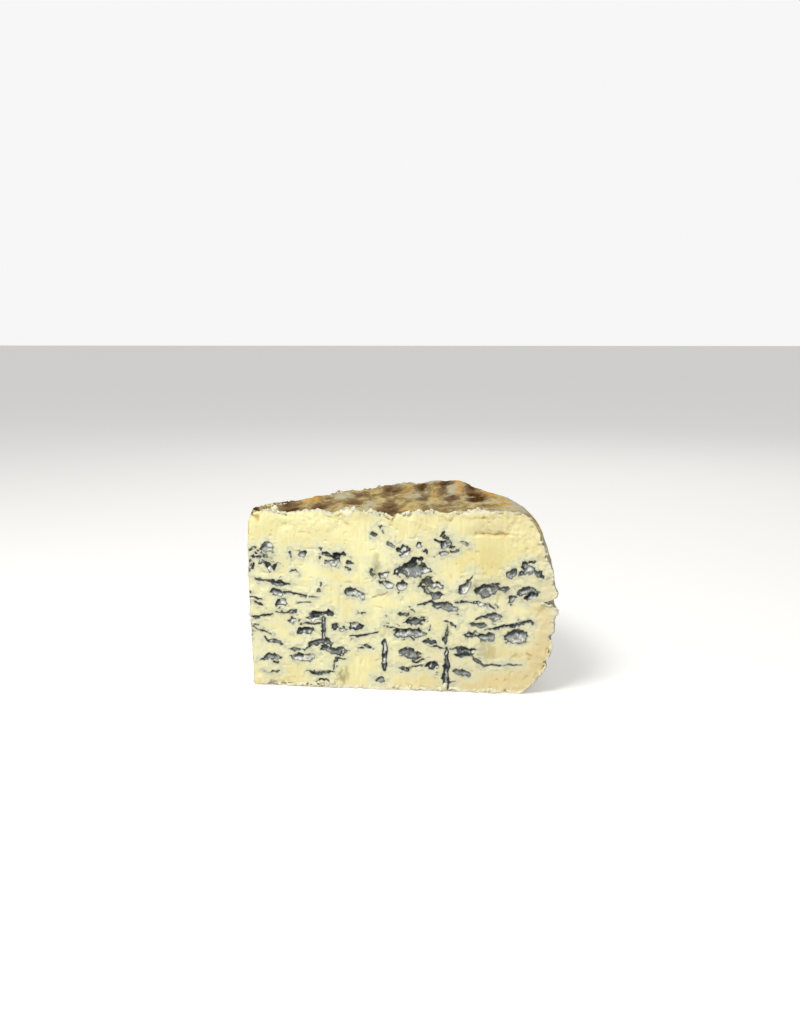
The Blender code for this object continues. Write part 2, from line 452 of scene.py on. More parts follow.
def use_group(tree, group, **values):
    """Places a group in a tree and feeds its inputs by name."""
    node = add_node(tree, "ShaderNodeGroup", node_tree=group)
    for name, value in values.items():
        feed(tree, node.inputs[name], value)
    return node.outputs


FLOAT, COLOR = "NodeSocketFloat", "NodeSocketColor"
print("sockets of the groups are", FLOAT, "or", COLOR)


# %% [markdown]
# ## Shared effects: paste, mould and grain
#
# The paste is a warm cream that turns paler and faintly green where mould has worked near it,
# and more beige towards rim and base. Mould runs from black-green through blue-grey to nearly
# white where it grew thick and dry; in the eyes the black-green end is also painted shade under
# each roof and the pale end painted light on each floor and lower lip. Grain is the faint
# tooth that a wire leaves in a soft paste: lines drawn out upright, and small crumbly specks.

# %% Make the paste group
def make_paste_group():
    """Cream in broad and small patches, drawn out upright, with gold, beige and halo mixed in."""
    sockets = [("Warmth", FLOAT), ("Gold", FLOAT), ("Halo", FLOAT)]
    group, given, made = new_group("paste mottling", sockets, [("Color", COLOR)])
    broad = rise(group, speckle(group, 22.0, 3.0), 0.36, 0.66)
    cream = blend(group, broad, srgb(251, 244, 184), srgb(238, 227, 164))
    small = rise(group, speckle(group, 4.5, 3.0), 0.45, 0.72)
    cream = blend(group, maths(group, "MULTIPLY", small, 0.5), cream, srgb(252, 247, 202))
    drawn = speckle(group, 1.1, 3.0, stretch=(1.0, 1.0, 10.0))
    cream = blend(group, rise(group, drawn, 0.44, 0.70, 0.0, 0.18), cream, srgb(225, 212, 146))
    cream = blend(group, rise(group, drawn, 0.48, 0.30, 0.0, 0.20), cream, srgb(254, 250, 210))
    specks = speckle(group, 1.5, 1.0)
    cream = blend(group, rise(group, specks, 0.735, 0.80, 0.0, 0.7), cream, srgb(178, 150, 78))
    cream = blend(group, given["Gold"], cream, srgb(232, 219, 142))
    cream = blend(group, given["Warmth"], cream, srgb(229, 211, 158))
    patchy = rise(group, speckle(group, 4.0, 3.0), 0.3, 0.7, 0.65, 1.0)
    pale = maths(group, "MULTIPLY", given["Halo"], patchy)
    feed(group, made["Color"], blend(group, pale, cream, srgb(229, 229, 198)))
    return group


paste_group = make_paste_group()
print(paste_group.name, "has", len(paste_group.nodes), "nodes")


# %% Make the mould group
def make_mould_group():
    """A ramp from black-green to white, read at the tone plus two sizes of specks, less the outline."""
    sockets = [("Tone", FLOAT), ("Outline", FLOAT)]
    group, given, made = new_group("blue mould", sockets, [("Color", COLOR)])
    fine = maths(group, "SUBTRACT", speckle(group, 1.8, 3.0), 0.5)
    tone = maths(group, "ADD", given["Tone"], maths(group, "MULTIPLY", fine, 0.46))
    specks = maths(group, "SUBTRACT", speckle(group, 0.7, 2.0), 0.5)
    tone = maths(group, "ADD", tone, maths(group, "MULTIPLY", specks, 0.55))
    tone = maths(group, "ADD", tone, 0.10)
    tone = maths(group, "SUBTRACT", tone, maths(group, "MULTIPLY", given["Outline"], 0.40))
    # the dark stops serve black-green mould and painted shade under the eyes' roofs, the pale ones white
    # mould and painted light
    stops = [
        (0.00, srgb(28, 33, 31)),
        (0.20, srgb(72, 78, 75)),
        (0.42, srgb(112, 117, 113)),
        (0.66, srgb(154, 158, 152)),
        (0.86, srgb(210, 211, 200)),
        (1.00, srgb(242, 241, 229)),
    ]
    feed(group, made["Color"], ramp(group, tone, stops))
    return group


mould_group = make_mould_group()
print(mould_group.name, "has", len(mould_group.nodes), "nodes")


# %% Make the grain group
def make_grain_group():
    """Height is upright lines plus crumbly noise, times strength; the mask is broad and soft."""
    sockets = [("Strength", FLOAT)]
    group, given, made = new_group("fine grain", sockets, [("Height", FLOAT), ("Mask", FLOAT)])
    drawn = speckle(group, 0.7, 2.0, stretch=(1.0, 1.0, 9.0))
    crumbly = speckle(group, 1.3, 3.0)
    together = maths(group, "ADD", drawn, crumbly)
    feed(group, made["Height"], maths(group, "MULTIPLY", together, given["Strength"]))
    feed(group, made["Mask"], rise(group, speckle(group, 6.0, 2.0), 0.35, 0.65))
    return group


grain_group = make_grain_group()
print("node groups:", [group.name for group in bpy.data.node_groups])


# %% [markdown]
# ## Materials
#
# The cut's material reads fields that the mesh carries: how far a point is from the nearest vein,
# how dark its mould is, which also holds each eye's painted shade and painted light, and where
# stains and ochre lines run, the yellow of cracks with painted shade in their creases. A distance
# is better than a mask, because the shader can put a sharp, slightly ragged edge anywhere between
# two mesh points.

# %% Make the paste material
def finish_surface(tree, shader, colour, roughness, height, bump_mm):
    """Feeds a shader its colour, uneven gloss and faint bump."""
    feed(tree, shader.inputs["Base Color"], colour)
    feed(tree, shader.inputs["Roughness"], roughness)
    bump = add_node(tree, "ShaderNodeBump")
    bump.inputs["Strength"].default_value = 0.6
    bump.inputs["Distance"].default_value = bump_mm * MM
    feed(tree, bump.inputs["Height"], height)
    tree.links.new(bump.outputs["Normal"], shader.inputs["Normal"])


def new_material(name):
    """A material made of nodes, with its tree and its shader."""
    material = bpy.data.materials.new(name)
    material.use_nodes = True
    return material, material.node_tree, material.node_tree.nodes["Principled BSDF"]


def make_paste_material():
    """Paste outside the veins and mould inside them; the distance plus ragged noise says which."""
    material, tree, shader = new_material("cheese paste")
    halo = field_value(tree, "halo")
    warmth, gold = field_value(tree, "warmth"), field_value(tree, "gold")
    paste = use_group(tree, paste_group, Warmth=warmth, Gold=gold, Halo=halo)["Color"]
    # ochre: the yellow of cracks and painted shade in their creases, and painted shadow by the ledge
    paste = blend(tree, field_value(tree, "ochre"), paste, srgb(190, 146, 52))
    paste = blend(tree, field_value(tree, "olive"), paste, srgb(158, 150, 98))
    ragged = maths(tree, "SUBTRACT", speckle(tree, 1.0, 3.0), 0.5)
    distance = maths(tree, "ADD", field_value(tree, "vein"), maths(tree, "MULTIPLY", ragged, 0.7))
    smoky = rise(tree, speckle(tree, 4.5, 2.0), 0.30, 0.66, 0.42, 0.78)
    fringe = maths(tree, "MULTIPLY", rise(tree, distance, 1.35, 0.0), smoky)
    paste = blend(tree, fringe, paste, srgb(184, 186, 162))
    dusty = rise(tree, speckle(tree, 3.0, 3.0), 0.45, 0.62)
    frosty = blend(tree, dusty, srgb(245, 238, 210), srgb(224, 219, 196))
    paste = blend(tree, field_value(tree, "frost"), paste, frosty)
    # the tone also holds each eye's painted shade under its roof and painted light on its floor
    tone = field_value(tree, "tone")
    # darker just inside each eye's edge, most where the tone is low: partly mould, partly painted shade
    outline = rise(tree, speckle(tree, 3.0, 2.0), 0.38, 0.58, 0.15, 1.0)
    outline = maths(tree, "MULTIPLY", rise(tree, distance, -0.65, -0.15), outline)
    outline = maths(tree, "MULTIPLY", outline, rise(tree, tone, 0.30, 0.75, 1.0, 0.30))
    mould = use_group(tree, mould_group, Tone=tone, Outline=outline)["Color"]
    olive_in_mould = maths(tree, "MULTIPLY", field_value(tree, "olive"), 0.8)
    mould = blend(tree, olive_in_mould, mould, srgb(116, 116, 82))
    inside = rise(tree, distance, 0.30, -0.05)
    colour = blend(tree, inside, paste, mould)
    grain = use_group(tree, grain_group, Strength=1.0)
    gloss = rise(tree, grain["Mask"], 0.0, 1.0, 0.40, 0.60)
    gloss = maths(tree, "SUBTRACT", gloss, maths(tree, "MULTIPLY", inside, 0.12))
    finish_surface(tree, shader, colour, gloss, grain["Height"], 0.15)
    shader.inputs["Subsurface Weight"].default_value = 0.12
    shader.inputs["Subsurface Scale"].default_value = 0.0015
    shader.inputs["Subsurface Radius"].default_value = (1.0, 0.7, 0.35)
    return material


paste_material = make_paste_material()
print(paste_material.name, "has", len(paste_material.node_tree.nodes), "nodes")


# %% Make the rind material
def make_rind_material():
    """Tan, amber, brown marks, fine streaks, pale flecks that are partly painted highlights, bloom and lip,
    in layers.
    """
    material, tree, shader = new_material("natural rind")
    streaks = speckle(tree, 3.0, 4.0, stretch=(1.0, 2.6, 1.0), roughness=0.6)
    fine = speckle(tree, 0.9, 4.0, stretch=(1.6, 1.0, 1.0), roughness=0.65)
    broad = speckle(tree, 9.0, 3.0, stretch=(1.0, 2.4, 1.0))
    tan = ramp(
        tree,
        rise(tree, broad, 0.34, 0.66),
        [(0.0, srgb(144, 126, 84)), (0.5, srgb(174, 156, 105)), (1.0, srgb(192, 172, 116))],
    )
    tan = blend(tree, rise(tree, streaks, 0.44, 0.66, 0.0, 0.7), tan, srgb(108, 84, 48))
    tan = blend(tree, rise(tree, streaks, 0.48, 0.32, 0.0, 0.55), tan, srgb(208, 186, 132))
    amber = rise(tree, streaks, 0.34, 0.58, 0.5, 1.0)
    amber = maths(tree, "MULTIPLY", field_value(tree, "amber"), amber)
    tan = blend(tree, amber, tan, srgb(214, 158, 50))
    uneven = maths(tree, "MULTIPLY", maths(tree, "SUBTRACT", streaks, 0.5), 1.1)
    mark = maths(tree, "ADD", field_value(tree, "mark"), uneven)
    brown_stops = [
        (0.00, srgb(154, 132, 94)),
        (0.40, srgb(129, 106, 76)),
        (0.75, srgb(105, 81, 56)),
        (1.00, srgb(78, 50, 16)),
    ]
    skin = blend(tree, rise(tree, mark, 0.05, 0.60), tan, ramp(tree, mark, brown_stops))
    bloom = speckle(tree, 4.0, 4.0, stretch=(1.0, 1.8, 1.0), roughness=0.62)
    bloom = maths(tree, "ADD", bloom, field_value(tree, "veil"))
    skin = blend(tree, rise(tree, fine, 0.52, 0.72, 0.0, 0.35), skin, srgb(84, 62, 36))
    # pale fine flecks: partly the rind's pale grain, partly painted highlights, since the rind has no shine
    # of its own
    skin = blend(tree, rise(tree, fine, 0.46, 0.30, 0.0, 0.28), skin, srgb(196, 176, 126))
    skin = blend(tree, rise(tree, bloom, 0.62, 0.94, 0.0, 0.8), skin, srgb(186, 183, 158))
    skin = blend(tree, field_value(tree, "lip"), skin, srgb(240, 234, 204))
    grain = use_group(tree, grain_group, Strength=0.5)
    height = maths(tree, "ADD", grain["Height"], maths(tree, "ADD", fine, streaks))
    gloss = rise(tree, fine, 0.3, 0.7, 0.52, 0.80)
    finish_surface(tree, shader, skin, gloss, height, 0.3)
    shader.inputs["Specular IOR Level"].default_value = 0.0
    return material


rind_material = make_rind_material()
print(rind_material.name, "has", len(rind_material.node_tree.nodes), "nodes")


# %% Make the crumb material
def make_crumb_material():
    """Cream or mould, by each crumb's own share."""
    material, tree, shader = new_material("edge crumbs")
    cream = blend(tree, speckle(tree, 3.0, 2.0), srgb(242, 236, 202), srgb(228, 220, 186))
    mould = use_group(tree, mould_group, Tone=0.84)["Color"]
    colour = blend(tree, field_value(tree, "mouldy"), cream, mould)
    grain = use_group(tree, grain_group, Strength=1.0)
    finish_surface(tree, shader, colour, 0.6, grain["Height"], 0.1)
    shader.inputs["Subsurface Weight"].default_value = 0.12
    shader.inputs["Subsurface Scale"].default_value = 0.0015
    return material


crumb_material = make_crumb_material()
print("materials:", [material.name for material in bpy.data.materials])

# %% [markdown]
# ## The wheel's section
#
# Seen in section, the wheel is a flat base, a tight foot, a rim that leans out and back, a tall
# soft shoulder and a flat top. The rim was pressed by a cloth and has settled, so it is given by
# sixteen chosen points with a smooth curve through them, measured again by its own length.

# %% Draw the section
RIM_OUTLINE = [
    (129.0, 0.0),
    (132.4, 2.0),
    (136.2, 6.0),
    (140.2, 10.6),
    (142.6, 17.0),
    (144.4, 25.0),
    (145.2, 35.0),
    (145.4, 45.0),
    (144.9, 53.0),
    (143.2, 61.0),
    (141.0, 68.5),
    (138.6, 75.5),
    (136.2, 81.0),
    (132.6, 85.4),
    (128.6, 87.4),
    (123.0, 87.8),
]
LIFT_FROM = 88.0  # from this distance along the cut the top rises to meet the shoulder's crest
RIM_BREAK_REACH = 6.0  # how far round the rim a dent or scab carries from its cut
# cracks and lost flakes where a cut meets the rim: height, depth, half width
RIM_DENTS = [
    (44.6, 5.6, 1.5),
    (28.2, 2.6, 1.5),
    (16.2, 2.2, 1.1),
    (66.5, 1.0, 1.4),
    (54.5, 0.9, 1.0),
    (9.0, 1.0, 1.1),
    (36.2, 0.7, 1.2),
    (74.0, 0.8, 1.0),
]
# scabs that stand out there: height, how proud, half width
RIM_SCABS = [(41.3, 1.6, 0.9), (39.6, 1.1, 0.7), (48.8, 0.8, 1.6), (24.0, 0.7, 1.4), (59.5, 0.7, 1.6)]


def curve_through(points, samples=24):
    """Catmull-Rom: between two points, the cubic whose slopes there point from neighbour to neighbour."""
    points = np.asarray(points, float)
    ends = np.vstack([2 * points[0] - points[1], points, 2 * points[-1] - points[-2]])
    t = np.linspace(0, 1, samples, endpoint=False)[:, None]
    spans = []
    for a, b, c, d in zip(ends, ends[1:], ends[2:], ends[3:]):
        spans.append(
            b + t * (c - a) / 2 + t**2 * (a - 2.5 * b + 2 * c - d / 2) + t**3 * (1.5 * (b - c) + (d - a) / 2)
        )
    return np.vstack([*spans, points[-1:]])


rim_curve = curve_through(RIM_OUTLINE) + [CUT_START, 0.0]
rim_length = np.concatenate([[0], np.cumsum(np.hypot(*np.diff(rim_curve, axis=0).T))])


def rim_at(share):
    """Radius and height on the rim at a share of its length, from the foot (0) to the top (1)."""
    along = np.asarray(share) * rim_length[-1]
    return np.interp(along, rim_length, rim_curve[:, 0]), np.interp(along, rim_length, rim_curve[:, 1])


def crest(along):
    """How far the top stands over the wheel's height at a distance along the cut."""
    return (RIM_OUTLINE[-1][1] - WHEEL_HEIGHT) * step_up(along, LIFT_FROM, RIM_OUTLINE[-1][0])


def rim_break(height, arc):
    """How far the rim is pushed out (+) or broken in (-): bells at the dents and scabs, fading round it."""
    push = 0.35 * noise(height, 0, 0, 3.1, 70) + 0.30 * noise(height, 0, 0, 1.2, 71)
    for middle, depth, reach in RIM_DENTS:
        push = push - depth * np.exp(-(((height - middle) / reach) ** 2))
    for middle, proud, reach in RIM_SCABS:
        push = push + proud * np.exp(-(((height - middle) / reach) ** 2))
    push = push * np.exp(-((arc / RIM_BREAK_REACH) ** 2))
    return push * step_up(height, 1.0, 4.0) * step_up(height, 86.0, 80.0)


def point_radius(turn):
    """Where the rounded point starts: the near side of its circle, as a distance from the axis."""
    off = np.asarray(turn) - HALF_ANGLE
    under = POINT_RADIUS**2 - (POINT_CENTRE * np.sin(off)) ** 2
    return POINT_CENTRE * np.cos(off) - np.sqrt(np.maximum(under, 0.0))


FOOT_TAPER = 2.0
FOOT_TAPER_HEIGHT = 45.0
CORNER_WEAR = 3.4  # the top corner of the point is rubbed back as well
CORNER_HEIGHT = 9.0


def lean_point(points):
    """Near the axis, points move out along the middle plane, most at the foot and the worn top corner."""
    radius = np.hypot(points[..., 0], points[..., 1])
    low = np.clip(1 - points[..., 2] / FOOT_TAPER_HEIGHT, 0, 1)
    high = np.clip(1 - (WHEEL_HEIGHT - points[..., 2]) / CORNER_HEIGHT, 0, 1.3)
    push = FOOT_TAPER * low * np.exp(-radius / 12.0) + CORNER_WEAR * high**2 * np.exp(-radius / 7.0)
    ragged = 0.5 * np.exp(-radius / 5.0) * cloud(points[..., 2], 0, 0, 4.0, 75)
    push = push + ragged * step_up(points[..., 2], 0.0, 3.0)
    moved = points.copy()
    moved[..., 0] += push * math.cos(HALF_ANGLE)
    moved[..., 1] += push * math.sin(HALF_ANGLE)
    return moved


print("rim length in mm:", round(float(rim_length[-1]), 1))

# %% [markdown]
# ## The torn edge
#
# A wire drags the rind as it leaves the paste, so the top edge of a cut is a low, crumbly ridge,
# higher where a lump of mould was pulled up and missing where a flake broke away. Both the cut
# and the rind follow this one function, so they stay together.

# %% Shape the torn edge
FRONT_SEED, BACK_SEED = 3, 57  # every noise on a cut counts on from its cut's seed
RIDGE_SHIFT = 30
# lumps (+) and lost flakes (-) of the edge: along the cut, reach, lift
FRONT_EDGE_LUMPS = [
    (-1.8, 2.2, -2.0),
    (3.0, 1.6, -0.9),
    (10.0, 3.0, 1.4),
    (17.0, 2.6, -0.7),
    (28.0, 4.5, 0.7),
    (33.0, 2.6, 1.0),
    (46.5, 3.4, 2.1),
    (50.5, 1.3, 1.0),
    (57.0, 3.0, 0.3),
    (67.3, 2.3, -2.0),
    (80.5, 2.0, 0.9),
    (87.0, 2.8, 1.5),
    (97.0, 4.5, 0.5),
    (108.5, 3.4, 1.1),
    (117.0, 3.0, -0.4),
]
BACK_EDGE_LUMPS = [
    (14.0, 4.0, 0.5),
    (65.0, 2.0, 1.2),
    (81.0, 3.0, -1.0),
    (98.0, 1.5, 1.3),
    (94.0, 8.0, -0.7),
]


def ridge_height(along, lumps, seed):
    """Height of the torn edge over the top, in mm: two sizes of noise plus the named lumps."""
    height = 0.5 + 0.45 * noise(along, 0, 0, 5.0, seed) + 0.45 * noise(along, 0, 0, 1.6, seed + 1)
    height = height + 0.30 * noise(along, 0, 0, 0.75, seed + 2)
    for centre, reach, lift in lumps:
        height = height + lift * np.exp(-(((along - centre) / reach) ** 2))
    return height * step_up(along, 130.0, 120.0)


ridge_sample = ridge_height(np.array([0.0, 46.5, 87.0]), FRONT_EDGE_LUMPS, FRONT_SEED + RIDGE_SHIFT)
print("ridge height at three places in mm:", ridge_sample.round(2))

# %% [markdown]
# ## What the front cut opens
#
# Each eye is an ellipse given by its middle along the cut and its height above the table, half
# length, half height, lean in degrees, depth, and how pale its floor is. Slits follow a few
# points with a half width, and needle channels stand upright with a dark line down each side.
# Noise bends all of them afterwards, so these lists hold only the broad shapes.

# %% List the front cut's eyes
FRONT_EYES = [
    # upper left, from the point
    (8.3, 68.5, 2.9, 2.6, 10, 2.6, 0.62),
    (1.9, 68.4, 1.0, 0.7, 0, 1.0, 0.4),
    (-0.4, 66.5, 0.9, 0.6, 0, 0.8, 0.4),
    (5.6, 65.0, 1.4, 0.7, 10, 0.8, 0.5),
    (3.0, 63.0, 1.6, 0.9, -20, 1.2, 0.3),
    (6.0, 61.0, 1.6, 1.0, 10, 1.4, 0.4),
    (8.7, 59.8, 1.8, 1.1, 0, 1.4, 1.0),
    (11.2, 59.5, 0.8, 0.9, 0, 1.4, 0.1),
    (-0.9, 58.2, 1.9, 1.3, 80, 1.2, 0.3),
    (-1.2, 61.2, 0.9, 0.8, 0, 1.0, 0.3),
    (3.6, 67.0, 0.8, 0.5, 20, 0.9, 0.1),
    (2.4, 65.2, 0.7, 0.5, 0, 0.8, 0.2),
    (7.8, 64.6, 1.3, 1.0, 60, 0.7, 0.55),
    (0.6, 63.4, 0.8, 0.6, 0, 0.9, 0.1),
    (1.0, 59.4, 0.7, 0.9, 0, 1.0, 0.1),
    (25.0, 66.0, 2.1, 1.6, 0, 0.9, 0.7),
    (26.1, 66.9, 0.8, 0.6, 0, 1.2, 0.05),
    (33.9, 68.4, 0.6, 1.0, 0, 1.2, 0.2),
    (36.2, 66.2, 2.2, 1.1, -15, 2.0, 0.15),
    (39.6, 62.2, 3.4, 1.5, -5, 1.0, 0.85),
    (33.8, 63.8, 0.8, 0.8, 0, 1.0, 0.3),
    (41.6, 65.8, 2.7, 1.7, 8, 3.4, 0.0),
    (45.0, 66.7, 1.3, 0.7, -20, 1.6, 0.2),
    (47.9, 62.4, 1.2, 0.9, -10, 1.4, 0.1),
    (47.4, 59.5, 1.2, 0.6, 0, 0.6, 0.4),
    (13.0, 51.3, 3.2, 0.8, -6, 0.8, 0.6),
    (34.1, 51.5, 0.8, 1.0, 0, 1.4, 0.05),
    (32.4, 48.5, 1.8, 1.0, 5, 1.0, 0.45),
    (12.4, 46.6, 2.6, 1.6, -20, 1.8, 0.75),
    (25.2, 45.9, 0.9, 0.6, 0, 1.0, 0.1),
    (50.0, 47.3, 4.4, 1.8, -14, 1.6, 0.8),
    (-1.4, 46.0, 0.8, 0.7, 0, 0.8, 0.4),
    (14.6, 41.8, 2.9, 1.7, -10, 1.8, 0.35),
    # upper middle
    (59.8, 75.9, 0.65, 0.95, 0, 1.0, 0.1),
    (64.2, 77.6, 0.45, 0.35, -30, 0.6, 0.1),
    (66.9, 71.3, 2.1, 1.3, -5, 0.9, 0.7),
    (81.2, 71.3, 1.6, 1.9, -30, 1.1, 0.85),
    (80.5, 72.3, 0.7, 0.7, 0, 1.4, 0.0),
    (84.2, 68.3, 1.3, 1.1, -20, 1.2, 0.15),
    (72.9, 69.2, 3.6, 1.5, 4, 2.0, 0.3),
    (73.4, 67.2, 2.9, 1.2, 20, 1.2, 1.0),
    (92.2, 76.8, 0.8, 0.8, 0, 1.6, 0.05),
    (94.2, 75.0, 1.5, 0.9, -15, 1.9, 0.05),
    (89.3, 73.6, 1.5, 0.7, -25, 1.6, 0.05),
    (93.3, 72.0, 3.0, 1.9, 15, 2.6, 0.55),
    (91.8, 67.8, 2.2, 1.4, -5, 1.7, 0.8),
    (95.8, 70.4, 1.8, 0.6, 30, 1.2, 0.4),
    (97.0, 68.4, 1.9, 0.5, 20, 1.0, 0.4),
    (78.0, 59.4, 6.6, 4.4, 0, 4.2, 0.46),
    (77.6, 63.0, 5.6, 1.2, 12, 3.8, 0.0),
    (84.7, 58.8, 2.0, 1.7, -20, 2.0, 0.5),
    (71.6, 58.0, 1.5, 2.4, 10, 2.4, 0.2),
    (58.8, 57.6, 0.7, 2.2, 8, 0.8, 0.2),
    (63.8, 57.0, 3.4, 1.8, 20, 1.9, 0.8),
    (65.4, 51.6, 4.1, 1.9, -12, 1.9, 0.8),
    (72.5, 50.8, 2.1, 2.0, 0, 1.9, 0.85),
    (81.2, 51.8, 1.6, 0.9, 10, 1.7, 0.05),
    (84.6, 53.0, 2.3, 1.7, 25, 1.9, 0.2),
    (88.4, 52.2, 3.2, 0.9, -12, 1.2, 0.6),
    (84.0, 49.6, 2.9, 0.9, -22, 1.4, 0.15),
    (88.6, 47.0, 2.8, 1.9, -8, 1.5, 0.5),
    (91.3, 47.6, 1.6, 0.5, 15, 1.0, 0.3),
    (71.0, 47.3, 0.8, 0.4, 20, 0.4, 0.4),
    (93.5, 41.9, 6.4, 1.4, 3, 1.9, 0.55),
    # upper right, to the rim
    (124.9, 58.8, 2.4, 2.2, 0, 1.5, 0.6),
    (131.5, 63.6, 1.6, 1.7, -20, 2.0, 0.1),
    (134.6, 64.4, 1.4, 0.6, 5, 1.2, 0.15),
    (132.2, 60.6, 2.6, 2.1, -30, 2.2, 0.55),
    (136.4, 59.4, 2.3, 1.6, -25, 1.9, 0.4),
    (139.2, 57.8, 1.5, 0.9, -20, 1.3, 0.15),
    (129.6, 59.3, 1.0, 1.4, 0, 1.6, 0.15),
    (102.8, 50.6, 3.9, 2.2, 42, 2.3, 1.0),
    (105.0, 55.8, 1.9, 0.6, 60, 1.5, 0.05),
    (113.0, 50.2, 6.1, 2.8, 14, 2.8, 0.40),
    (121.3, 50.7, 2.2, 0.9, -15, 1.3, 0.3),
    (132.0, 50.0, 5.2, 1.9, 8, 2.3, 0.55),
    (133.6, 47.6, 3.2, 1.3, 28, 2.6, 0.0),
    (124.5, 46.8, 1.9, 1.3, 30, 1.5, 0.65),
    (110.0, 42.7, 3.4, 1.2, -14, 1.5, 1.0),
    # lower left
    (15.2, 37.6, 1.5, 0.5, -20, 1.0, 0.3),
    (19.8, 36.8, 2.2, 0.7, -5, 1.2, 0.25),
    (31.0, 34.6, 3.2, 0.9, -10, 0.8, 1.0),
    (31.6, 36.9, 3.1, 1.3, 8, 2.6, 0.0),
    (37.6, 37.0, 1.9, 1.4, 20, 2.4, 0.1),
    (34.9, 36.5, 1.5, 0.7, 0, 1.6, 0.3),
    (19.2, 33.2, 2.2, 1.3, 15, 1.6, 1.0),
    (23.5, 33.3, 0.9, 0.5, 0, 1.0, 0.3),
    (26.6, 28.6, 4.7, 1.7, 3, 2.3, 0.35),
    (40.3, 30.3, 1.3, 1.6, 10, 1.4, 0.15),
    (44.3, 29.8, 2.4, 1.0, -5, 1.0, 0.95),
    (50.2, 31.2, 3.2, 1.4, -8, 2.4, 0.05),
    (-0.5, 24.4, 1.0, 0.4, 0, 0.8, 0.3),
    (9.5, 22.4, 4.4, 0.8, -14, 0.8, 0.6),
    (34.0, 22.3, 5.8, 1.3, 5, 1.5, 0.35),
    (39.3, 18.6, 6.2, 1.9, -4, 1.6, 0.3),
    (26.4, 19.0, 1.8, 0.5, 5, 1.0, 0.3),
    (24.7, 14.6, 6.0, 1.8, -4, 2.0, 0.85),
    (8.0, 14.0, 4.0, 1.6, 5, 1.5, 0.5),
    (34.0, 2.4, 3.0, 1.6, 10, 1.5, 0.55),
    # lower middle
    (54.2, 37.6, 1.1, 0.8, 0, 0.3, 0.6),
    (65.5, 36.1, 0.5, 0.4, 0, 0.6, 0.2),
    (56.4, 21.5, 1.2, 0.8, 20, 1.3, 0.1),
    (62.0, 5.0, 2.6, 1.1, 5, 0.9, 0.55),
    (73.5, 37.2, 2.6, 0.6, 5, 0.8, 0.3),
    (77.9, 39.3, 1.1, 0.4, 0, 0.6, 0.4),
    (78.8, 34.4, 4.8, 1.7, 6, 2.1, 0.25),
    (76.0, 28.3, 7.8, 2.8, -3, 2.8, 0.6),
    (75.5, 30.3, 7.2, 0.9, 0, 2.8, 0.0),
    (85.7, 24.0, 2.7, 0.8, -5, 1.4, 0.15),
    (90.0, 21.6, 2.8, 0.5, -5, 1.1, 0.2),
    (77.2, 18.3, 4.4, 2.1, -22, 1.9, 0.5),
    (80.2, 15.0, 2.4, 0.5, -5, 1.0, 0.4),
    (73.8, 10.9, 3.4, 1.2, -3, 2.5, 0.0),
    (87.4, 12.8, 3.0, 1.6, 12, 2.2, 0.05),
    (93.9, 25.8, 1.2, 1.5, 0, 1.0, 0.3),
    (93.9, 35.0, 1.0, 0.8, 0, 0.8, 0.3),
    (97.0, 33.3, 1.9, 0.6, -20, 1.1, 0.3),
    (90.6, 8.8, 0.7, 0.4, 0, 0.6, 0.2),
    # lower right
    (116.0, 37.6, 4.6, 2.4, 0, 0.9, 0.6),
    (109.6, 37.0, 1.6, 0.7, 0, 0.8, 0.4),
    (109.0, 33.4, 4.2, 1.1, -8, 0.9, 0.35),
    (99.2, 38.5, 0.8, 0.4, 0, 0.6, 0.3),
    (113.3, 27.6, 3.8, 1.8, -5, 1.2, 0.6),
    (106.3, 29.3, 4.0, 1.3, 6, 2.7, 0.0),
    (134.0, 34.9, 1.0, 0.6, 0, 1.0, 0.3),
    (127.2, 28.4, 5.7, 3.1, 12, 2.2, 0.64),
    (103.0, 20.0, 3.2, 0.8, 0, 1.0, 0.5),
    (101.3, 10.2, 4.4, 1.3, -8, 1.2, 0.5),
]
print(len(FRONT_EYES), "eyes on the front cut")

